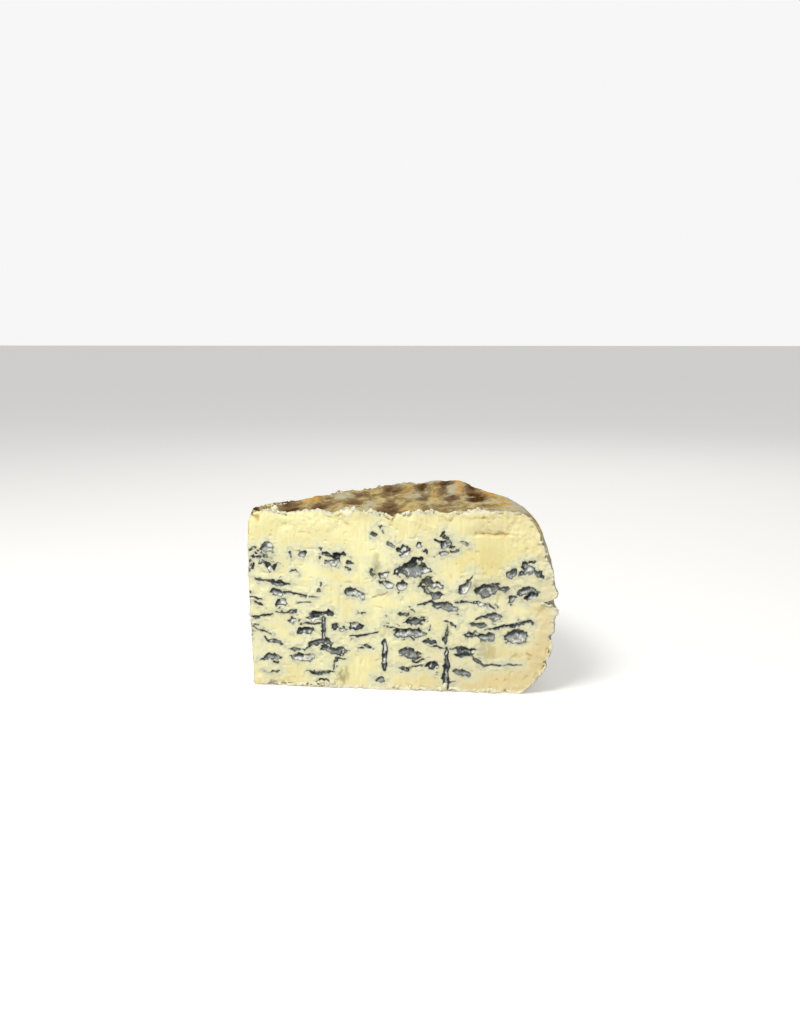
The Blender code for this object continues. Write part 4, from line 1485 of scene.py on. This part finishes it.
# %% Scatter the back cut's veins
BACK_EYES, BACK_SLITS = 96, 34
BIG_EYE_SHARE = 0.22
EYE_PALENESS = [0.0, 0.3, 0.6, 0.8, 1.0]
BACK_CHANNELS = [(41.0, 8.0, 27.0, 1.3, 0.9), (88.0, 30.0, 52.0, 1.2, 0.8)]
BACK_OCHRE = [
    (0.4, 0.6, [(52.0, 78.0), (57.0, 79.2), (61.0, 78.6)]),
    (0.35, 0.6, [(112.0, 66.0), (117.0, 68.0)]),
]


def scatter_veins(seed):
    """Veins like the front's: eyes kept apart by their half sizes, slits that wander, lumps and stains."""
    rng = np.random.default_rng(seed)
    eyes, slits, lumps, olive = [], [], [], []
    while len(eyes) < BACK_EYES:
        x, z = rng.uniform(2, 137), rng.uniform(5, 74)
        big = rng.random() < BIG_EYE_SHARE
        half_x = rng.uniform(3.6, 6.4) if big else rng.uniform(0.7, 3.2)
        half_z = half_x * rng.uniform(0.3, 0.6)
        gaps = [
            math.hypot((x - near_x) / (half_x + wide + 0.6), (z - near_z) / (half_z + high + 0.6))
            for near_x, near_z, wide, high, *_ in eyes
        ]
        if all(gap > 0.9 for gap in gaps):
            lean, pale = rng.normal(0, 12), rng.choice(EYE_PALENESS)
            eyes.append((x, z, half_x, half_z, lean, 0.6 + 0.9 * half_z, pale))
    for _ in range(BACK_SLITS):
        x, z = rng.uniform(0, 128), rng.uniform(6, 72)
        reach, rises = rng.uniform(3, 12), rng.normal(0, 1.2, 3)
        points = [(x + reach * i / 3, z + rises[:i].sum() * 0.6) for i in range(4)]
        slits.append((rng.uniform(0.3, 0.8), rng.uniform(0.05, 0.4), points))
    for x, z, half_x, half_z, *_ in eyes[::7]:
        lumps.append((x + 0.2 * half_x, z - 0.4 * half_z, 0.5 * half_z + 0.3))
    for x, z, *_ in eyes[::13]:
        olive.append((x, z - 2, rng.uniform(1.5, 4), rng.uniform(2, 5), 0, 0.45))
    return eyes, slits, BACK_CHANNELS, [], lumps, olive, BACK_OCHRE


paste_back = cut_piece("paste_back", scatter_veins(5), BACK_EDGE_LUMPS, BACK_SEED, on_back=True)

# %% [markdown]
# ## The rind
#
# The rind is a skin grown by the cheese itself: thin, tough, brown where the mat pressed it and
# beige on the ridges between, with a grey bloom towards the rim. It is a shell whose outer face
# is a grid of section by turn. Relief is added along the section's own outward direction, so
# the top, shoulder and rim are pushed the same way.

# %% Lay out the rind
# dimples that the mat pressed: along the cut, away from it, half sizes, how brown
MAT_MARKS = [
    (2.0, 1.5, 3.4, 3.0, 1.3),
    (17.5, 9.0, 3.4, 8.0, 1.15),
    (14.0, 24.0, 3.6, 7.0, 0.8),
    (31.0, 16.0, 4.0, 9.0, 1.0),
    (33.0, 34.0, 3.6, 6.0, 0.55),
    (45.0, 33.0, 3.6, 7.0, 0.85),
    (66.0, 10.0, 4.2, 10.0, 0.95),
    (63.5, 27.0, 3.6, 9.0, 0.85),
    (78.5, 7.0, 2.4, 6.0, 0.8),
    (78.0, 50.0, 2.6, 9.0, 0.8),
    (46.0, 58.0, 3.8, 7.0, 0.75),
    (57.0, 80.0, 2.8, 12.0, 0.95),
    (62.0, 74.0, 2.2, 10.0, 0.8),
    (60.0, 56.0, 3.6, 7.0, 0.55),
    (75.0, 78.0, 3.4, 11.0, 1.05),
    (88.0, 82.0, 3.0, 20.0, 0.95),
    (86.0, 112.0, 3.4, 8.0, 0.8),
    (93.0, 48.0, 3.4, 9.0, 1.0),
    (92.0, 25.0, 5.5, 6.0, 0.5),
    (106.5, 42.0, 3.4, 8.0, 1.7),
    (104.5, 56.0, 3.6, 9.0, 1.25),
    (103.0, 76.0, 3.4, 14.0, 0.9),
    (109.0, 18.0, 5.0, 5.0, 0.45),
    (30.0, 46.0, 3.4, 5.0, 0.6),
    (73.0, 104.0, 3.4, 7.0, 0.7),
    (52.0, 44.0, 3.0, 5.0, 0.4),
]
# where the skin is amber, in the same terms
AMBER_PATCHES = [
    (95.5, 84.0, 4.6, 30.0, 0.85),
    (111.5, 66.0, 5.0, 22.0, 0.85),
    (104.0, 66.0, 8.0, 26.0, 0.75),
    (110.0, 40.0, 4.0, 8.0, 0.7),
    (122.0, 22.0, 4.6, 12.0, 0.8),
    (114.0, 40.0, 8.0, 18.0, 0.30),
    (23.0, 36.0, 5.0, 9.0, 0.7),
    (38.0, 26.0, 4.0, 10.0, 0.3),
    (73.0, 110.0, 5.0, 9.0, 0.85),
    (71.5, 12.0, 3.4, 8.0, 0.55),
    (84.0, 60.0, 3.0, 14.0, 0.35),
    (68.0, 70.0, 3.0, 14.0, 0.4),
    (4.0, 3.0, 4.0, 3.0, 0.6),
    (74.0, 48.0, 3.0, 6.0, 0.5),
]
# patches of grey-white bloom, in the same terms
BLOOM_PATCHES = [
    (78.0, 95.0, 4.0, 12.0, 0.42),
    (80.5, 112.0, 2.6, 9.0, 0.45),
    (102.6, 50.0, 2.6, 3.4, 0.75),
    (92.5, 70.0, 2.4, 12.0, 0.30),
    (72.5, 54.0, 4.0, 8.0, 0.22),
    (128.0, 30.0, 4.0, 18.0, 0.50),
    (53.0, 26.0, 4.0, 10.0, 0.25),
    (38.0, 52.0, 5.0, 6.0, 0.20),
    (85.0, 32.0, 5.0, 8.0, 0.18),
    (110.0, 30.0, 8.0, 6.0, 0.16),
]


def patches_at(x, y, patches, spread):
    """The strongest soft oval at each place: strength * exp(-spread * scaled distance squared)."""
    total = np.zeros(x.shape)
    for patch_x, patch_y, half_x, half_y, strength in patches:
        near = np.exp(-(((x - patch_x) / half_x) ** 2 + ((y - patch_y) / half_y) ** 2) * spread)
        total = np.maximum(total, strength * near)
    return total


def rind_section():
    """Shares from 0 to 1 along the base, outwards, up the rim and along the top, inwards."""
    base = np.linspace(0, 1, 26)[:-1]
    rim = np.linspace(0, 1, int(rim_length[-1] / RIND_STEP))
    top = np.linspace(0, 1, int((rim_curve[-1, 0]) / RIND_STEP))[1:]
    return base, rim, top


def rind_base_shape(turn):
    """The undisturbed rind as arrays of section by turn: radius and height."""
    base, rim, top = rind_section()
    start = point_radius(turn)[None, :]
    foot_radius, top_radius = rim_curve[0, 0], rim_curve[-1, 0]
    rim_radius, rim_height = rim_at(rim)
    ones = np.ones_like(turn)[None, :]
    radius = np.concatenate(
        [
            start + (foot_radius - start) * base[:, None],
            rim_radius[:, None] * ones,
            top_radius + (start - top_radius) * top[:, None],
        ]
    )
    height = np.concatenate([0 * base, rim_height, WHEEL_HEIGHT + 0 * top])[:, None] * ones
    height[-len(top) :] += crest(radius[-len(top) :] - CUT_START)
    return radius, height


def outward(radius, height):
    """Outward direction in the section: square to the line from the point before to the point after."""
    along_r, along_z = np.gradient(radius, axis=0), np.gradient(height, axis=0)
    size = np.maximum(np.hypot(along_r, along_z), 1e-9)
    return along_z / size, -along_r / size


print("points along the rind's section:", sum(len(part) for part in rind_section()))

# %% Push the rind into relief
MOUND = [(95.0, 89.0, 23.0, 20.0, 1.2)]  # the swollen part of the top, in the terms of the marks
MOUND_SPREAD = 1.0
MOUND_RISE = 2.0
MARK_DEPTH = 1.1
MARK_SPREAD, PATCH_SPREAD = 0.55, 0.8


def rind_fields(radius, turn, height):
    """Brown marks, amber patches and the veil of grey bloom at each rind point."""
    x, y = radius * np.cos(turn) - CUT_START, radius * np.sin(turn)
    bent_x = x + 1.3 * noise(x, y, height, (5.0, 9.0, 5.0), 81)
    bent_x = bent_x + 0.6 * noise(x, y, height, (2.0, 4.0, 2.0), 86)
    bent_y = y + 2.6 * noise(x, y, height, 6.0, 82) + 1.2 * noise(x, y, height, 2.4, 87)
    on_top = step_up(height, WHEEL_HEIGHT - 16, WHEEL_HEIGHT - 3)
    mark = patches_at(bent_x, bent_y, MAT_MARKS, MARK_SPREAD)
    amber = patches_at(bent_x, bent_y, AMBER_PATCHES, PATCH_SPREAD)
    bloom = patches_at(bent_x, bent_y, BLOOM_PATCHES, PATCH_SPREAD)
    arc = radius * turn
    rim_marks = step_up(cloud(arc, 0, height, (15.0, 9.0, 8.0), 83), 0.25, 0.9)
    mark = on_top * mark + (1 - on_top) * 0.75 * rim_marks
    amber = on_top * amber + (1 - on_top) * 0.6 * step_up(cloud(arc, 3, height, 20.0, 84), 0.1, 0.9)
    rimward = step_up(radius, 96.0, 132.0)
    veil = 0.12 + 0.06 * rimward + 0.14 * noise(x, y, height, (10.0, 16.0, 12.0), 85)
    veil = veil + bloom * on_top + 0.26 * (1 - on_top) - 0.12 * mark
    veil = veil + 0.40 * np.exp(-arc / 9.0) * (1 - on_top)
    return {"mark": mark, "amber": amber, "veil": veil}


def rind_sheets():
    """The shell's section at each turn, outer and inner: the plain one pushed outwards by its relief."""
    turns = np.linspace(0, WEDGE_ANGLE, int(rim_curve[:, 0].max() * WEDGE_ANGLE / RIND_STEP) + 1)
    radius, height = rind_base_shape(turns)
    out_r, out_z = outward(radius, height)
    turn = np.broadcast_to(turns[None, :], radius.shape)
    fields = rind_fields(radius, turn, height)
    x, y = radius * np.cos(turn), radius * np.sin(turn)
    free = step_up(height, 0.2, 6.0)
    waves = 0.55 * noise(x, y, height, 24.0, 90) + 0.30 * noise(x, y, height, 9.0, 91)
    crust = 0.16 * cloud(x, y, height, 2.6, 92) + 0.08 * noise(x, y, height, 0.9, 93)
    mound = MOUND_RISE * patches_at(x, y, MOUND, MOUND_SPREAD)
    mound = mound * step_up(height, 74.0, 86.0)
    relief = free * (waves + crust + mound - MARK_DEPTH * np.clip(fields["mark"], 0, 1.0))
    front_arc, back_arc = radius * turn, radius * (WEDGE_ANGLE - turn)
    broken = rim_break(height, front_arc) + rim_break(height, back_arc)
    relief = relief + broken * step_up(radius, 118.0, 128.0)
    along = radius - CUT_START
    on_top = step_up(height, WHEEL_HEIGHT - 4, WHEEL_HEIGHT - 0.5) * step_up(along, 133.0, 124.0)
    front_ridge = ridge_height(along, FRONT_EDGE_LUMPS, FRONT_SEED + RIDGE_SHIFT)
    back_ridge = ridge_height(along, BACK_EDGE_LUMPS, BACK_SEED + RIDGE_SHIFT) + 0.3
    front_near, back_near = np.exp(-((front_arc / 1.6) ** 1.4)), np.exp(-((back_arc / 1.6) ** 1.4))
    relief = relief * (1 - np.maximum(front_near, back_near) * on_top)
    relief = relief + on_top * (front_ridge * front_near + back_ridge * back_near)
    ragged = 0.9 * noise(x, y, height, 1.8, 94) + 0.5 * noise(x, y, height, 0.8, 95)
    nearest = np.minimum(front_arc, back_arc)
    lumpy = np.where(front_arc < back_arc, front_ridge, back_ridge)
    reach = np.where(front_arc < back_arc, 0.1 + 0.95 * np.clip(lumpy, -0.6, 2.5), -1.0) + 0.8 * ragged
    fields["lip"] = step_up(nearest, reach + 0.9, reach - 0.3) * step_up(along, 134.0, 124.0)
    outer_r, outer_z = radius + out_r * relief, height + out_z * relief
    outer_z = np.maximum(outer_z, 0.0)
    inner_r, inner_z = outer_r - out_r * RIND_THICKNESS, outer_z - out_z * RIND_THICKNESS
    return turns, outer_r, outer_z, inner_r, inner_z, fields


def spun(radius, turn, height):
    """Section coordinates turned about the wheel's axis into wheel coordinates."""
    return lean_point(np.stack([radius * np.cos(turn), radius * np.sin(turn), height], -1))


CUT_RECESS = 0.25  # how far the rind's own cut edge stands back from the paste's
INNER_ROWS, INNER_COLS = 120, 14


def rind_piece():
    """The rind as one closed shell: dense outside, coarse inside, four stitched edges between them."""
    turns, outer_r, outer_z, inner_r, inner_z, fields = rind_sheets()
    recess = CUT_RECESS / np.maximum(outer_r[:, :1], 6.0)
    turn = recess + (turns[None, :] / WEDGE_ANGLE) * (WEDGE_ANGLE - 2 * recess)
    outer = spun(outer_r, turn, outer_z)
    rows, cols = outer.shape[:2]
    row_pick = np.round(np.linspace(0, rows - 1, INNER_ROWS)).astype(int)
    col_pick = np.round(np.linspace(0, cols - 1, INNER_COLS)).astype(int)
    inner_all = spun(inner_r, turn, inner_z)
    inner = inner_all[np.ix_(row_pick, col_pick)]
    edge_lines = [
        (outer[:, 0], inner[:, 0]),
        (outer[::-1, -1], inner[::-1, -1]),
        (outer[0, ::-1], inner[0, ::-1]),
        (outer[-1], inner[-1]),
    ]
    edges = []
    for number, (outer_line, inner_line) in enumerate(edge_lines):
        box = (0.01, 0.905 + 0.01 * number, 0.99, 0.912 + 0.01 * number)
        stitched = np.stack([outer_line, repeat_to(inner_line, len(outer_line))])
        edges.append(sheet(stitched, box, veil=0.6, mark=0.3))
    sheets = [
        sheet(outer, (0.01, 0.01, 0.99, 0.90), flip=True, **fields),
        sheet(inner, (0.01, 0.955, 0.99, 0.99)),
        *edges,
    ]
    return piece_from_sheets("rind", sheets, tuple(fields), rind_material)


rind = rind_piece()

# %% [markdown]
# ## Crumbs on the edges
#
# Soft paste drags under the wire and leaves crumbs along every edge: cream ones along the foot,
# paler and mouldy ones on the torn top edge, and a few at the point. Each is a small sphere grid
# squashed and roughened by noise, and all of them are worked out together as one array before
# they become one mesh.

# %% Shape the crumbs
CRUMB_ROWS, CRUMB_COLS = 8, 12


def crumb_meshes(name, centres, sizes, mouldy, seed):
    """Joined lumps: unit spheres pushed in and out by noise, scaled by three sizes each, at their centres."""
    rng = np.random.default_rng(seed)
    count = len(centres)
    steps = (np.linspace(0, math.pi, CRUMB_ROWS), np.linspace(0, 2 * math.pi, CRUMB_COLS))
    polar, around = np.meshgrid(*steps, indexing="ij")
    ball = np.stack([np.sin(polar) * np.cos(around), np.sin(polar) * np.sin(around), np.cos(polar)], -1)
    shift = rng.uniform(0, 60, (count, 1, 1, 3))
    place = ball[None] * 1.3 + shift
    bumps = 1 + 0.75 * cloud(place[..., 0], place[..., 1], place[..., 2], 1.0, seed, 2)
    bumps[..., -1] = bumps[..., 0]
    bumps[:, 0], bumps[:, -1] = bumps[:, :1, 0], bumps[:, -1:, 0]
    points = ball[None] * bumps[..., None] * sizes[:, None, None, :] + centres[:, None, None, :]
    points[..., -1, :] = points[..., 0, :]
    points[..., 2] = np.maximum(points[..., 2], 0.0)
    numbers = np.arange(CRUMB_ROWS * CRUMB_COLS).reshape(CRUMB_ROWS, CRUMB_COLS)
    ring = [numbers[:-1, :-1], numbers[1:, :-1], numbers[1:, 1:], numbers[:-1, 1:]]
    ring = np.stack(ring, -1).reshape(-1, 4)
    quads = (ring[None] + (np.arange(count) * numbers.size)[:, None, None]).reshape(-1, 4)
    side = int(math.ceil(math.sqrt(count)))
    cell = np.stack([np.arange(count) % side, np.arange(count) // side], -1) / side
    local = np.stack([around / (2 * math.pi), polar / math.pi], -1).reshape(-1, 2) * 0.92 / side
    uv = (cell[:, None] + local[None]).reshape(-1, 2)
    flat = points.reshape(-1, 3)
    field = {"mouldy": np.repeat(mouldy, numbers.size)}
    return mesh_piece(name, flat, quads, uv[quads], field, crumb_material)


print("one crumb has", 2 * (CRUMB_ROWS - 2) * (CRUMB_COLS - 1), "triangles")

# %% Scatter the crumbs
SCAB_SHARE = 0.46  # of the rim's length from the foot: where a scab stands out
POINT_VEINS = (67.0, 60.0, 54.6, 44.0, 35.0, 30.0, 24.5)  # heights of the veins that reach the point
LONG_CRUMB = (1.5, 0.5, 0.4)
# how many along the top, the foot and the rim
FRONT_CRUMBS = (420, 380, 130)
BACK_CRUMBS = (150, 200, 90)
BACK_CRUMB_SIZE = 0.8  # against the front's
POINT_CRUMBS = 48


def bunched(rng, low, high, count, seed):
    """Places between low and high that gather where a slow noise is high, as crumbs do."""
    tries = rng.uniform(low, high, count * 6)
    weight = step_up(noise(tries, 0, 0, 4.5, seed) + 0.5 * rng.random(count * 6), 0.0, 0.9)
    chosen = np.argsort(-weight * rng.random(count * 6), kind="stable")[:count]
    return tries[np.sort(chosen)]


def edge_crumbs(lumps, ridge_seed, counts, seed):
    """Centres, half sizes and mouldiness of the crumbs along a cut's top, foot and rim, as on the front."""
    rng = np.random.default_rng(seed)
    top_count, foot_count, rim_count = counts
    top_along = bunched(rng, 5.0, 120.0, top_count, seed)
    ridge = ridge_height(top_along, lumps, ridge_seed)
    top_size = (0.16 + 0.16 * rng.gamma(1.5, 0.7, top_count)) * (1 + 0.15 * np.clip(ridge, 0, 2))
    over = rng.uniform(0.0, 1.0, top_count)
    top_off = 0.1 + over * (0.6 + 1.1 * np.clip(ridge, 0, 2))
    top_z = WHEEL_HEIGHT + crest(top_along) + ridge * (1 - 0.45 * over) - 0.3
    top = np.stack([top_along + CUT_START, top_off, top_z], -1)
    foot_along = 127.0 * (bunched(rng, 1.0, 126.0, foot_count, seed + 1) / 127.0) ** 0.7
    foot_size = 0.17 + 0.25 * rng.gamma(1.5, 0.7, foot_count)
    foot_z = foot_size * rng.uniform(0.4, 2.4, foot_count)
    foot = np.stack([foot_along + CUT_START, rng.uniform(-0.6, 0.4, foot_count), foot_z], -1)
    rim_share = rng.uniform(0.02, 0.9, rim_count)
    rim_share[: rim_count // 4] = rng.normal(SCAB_SHARE, 0.02, rim_count // 4)
    rim_r, rim_z = rim_at(rim_share)
    rim_size = 0.18 + 0.18 * rng.gamma(1.5, 0.7, rim_count)
    rim_r = rim_r + rim_break(rim_z, 0.0) - rng.uniform(0.5, 1.3, rim_count)
    rim = np.stack([rim_r, rng.uniform(-0.2, 1.0, rim_count), rim_z], -1)
    sizes = np.concatenate([top_size, foot_size, rim_size])[:, None] * rng.uniform(0.7, 1.3, (sum(counts), 3))
    top_mould = 0.8 * step_up(noise(top_along, 0, 0, 7.0, seed) + 0.3 * rng.normal(0, 1, top_count), 0.1, 1.0)
    foot_mould = 0.25 * (rng.random(foot_count) < 0.2)
    rim_mould = 0.7 * (rng.random(rim_count) < 0.5)
    return np.concatenate([top, foot, rim]), sizes, np.concatenate([top_mould, foot_mould, rim_mould])


def point_crumbs(count, seed):
    """Crumbs that stick out of the rounded point beside its veins."""
    rng = np.random.default_rng(seed)
    around = rng.uniform(math.radians(165), math.radians(265), count)
    height = rng.choice(POINT_VEINS, count) + rng.normal(0, 1.3, count)
    plan_x, plan_y = TANGENT_X + POINT_RADIUS * np.cos(around), POINT_RADIUS * (1 + np.sin(around))
    sizes = (0.22 + 0.16 * rng.gamma(1.5, 0.7, count))[:, None] * rng.uniform(0.7, 1.3, (count, 3))
    sizes[0] = LONG_CRUMB
    return lean_point(np.stack([plan_x, plan_y, height], -1)), sizes, 0.7 * (rng.random(count) < 0.35)


front_crumbs = edge_crumbs(FRONT_EDGE_LUMPS, FRONT_SEED + RIDGE_SHIFT, FRONT_CRUMBS, 101)
centres, sizes, mouldy = edge_crumbs(BACK_EDGE_LUMPS, BACK_SEED + RIDGE_SHIFT, BACK_CRUMBS, 102)
back_crumbs = (mirrored(centres), BACK_CRUMB_SIZE * sizes, mouldy)
point_parts = point_crumbs(POINT_CRUMBS, 104)
crumbs = [np.concatenate(parts) for parts in zip(point_parts, front_crumbs, back_crumbs)]
edge_crumb_piece = crumb_meshes("edge_crumbs", *crumbs, 103)

# %% [markdown]
# ## Hand over
#
# Nothing on a cheese moves by itself, so every piece rides on the one body. Together they stand
# for the plain solid of the frame.

# %% Ride on the frame
piece_slots = [(paste_front, "paste"), (paste_back, "paste"), (rind, "rind"), (edge_crumb_piece, "paste")]
for piece, slot in piece_slots:
    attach(piece, "root")
    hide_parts("cheese_wedge")
    print(piece.name, "rides on the body as", slot)
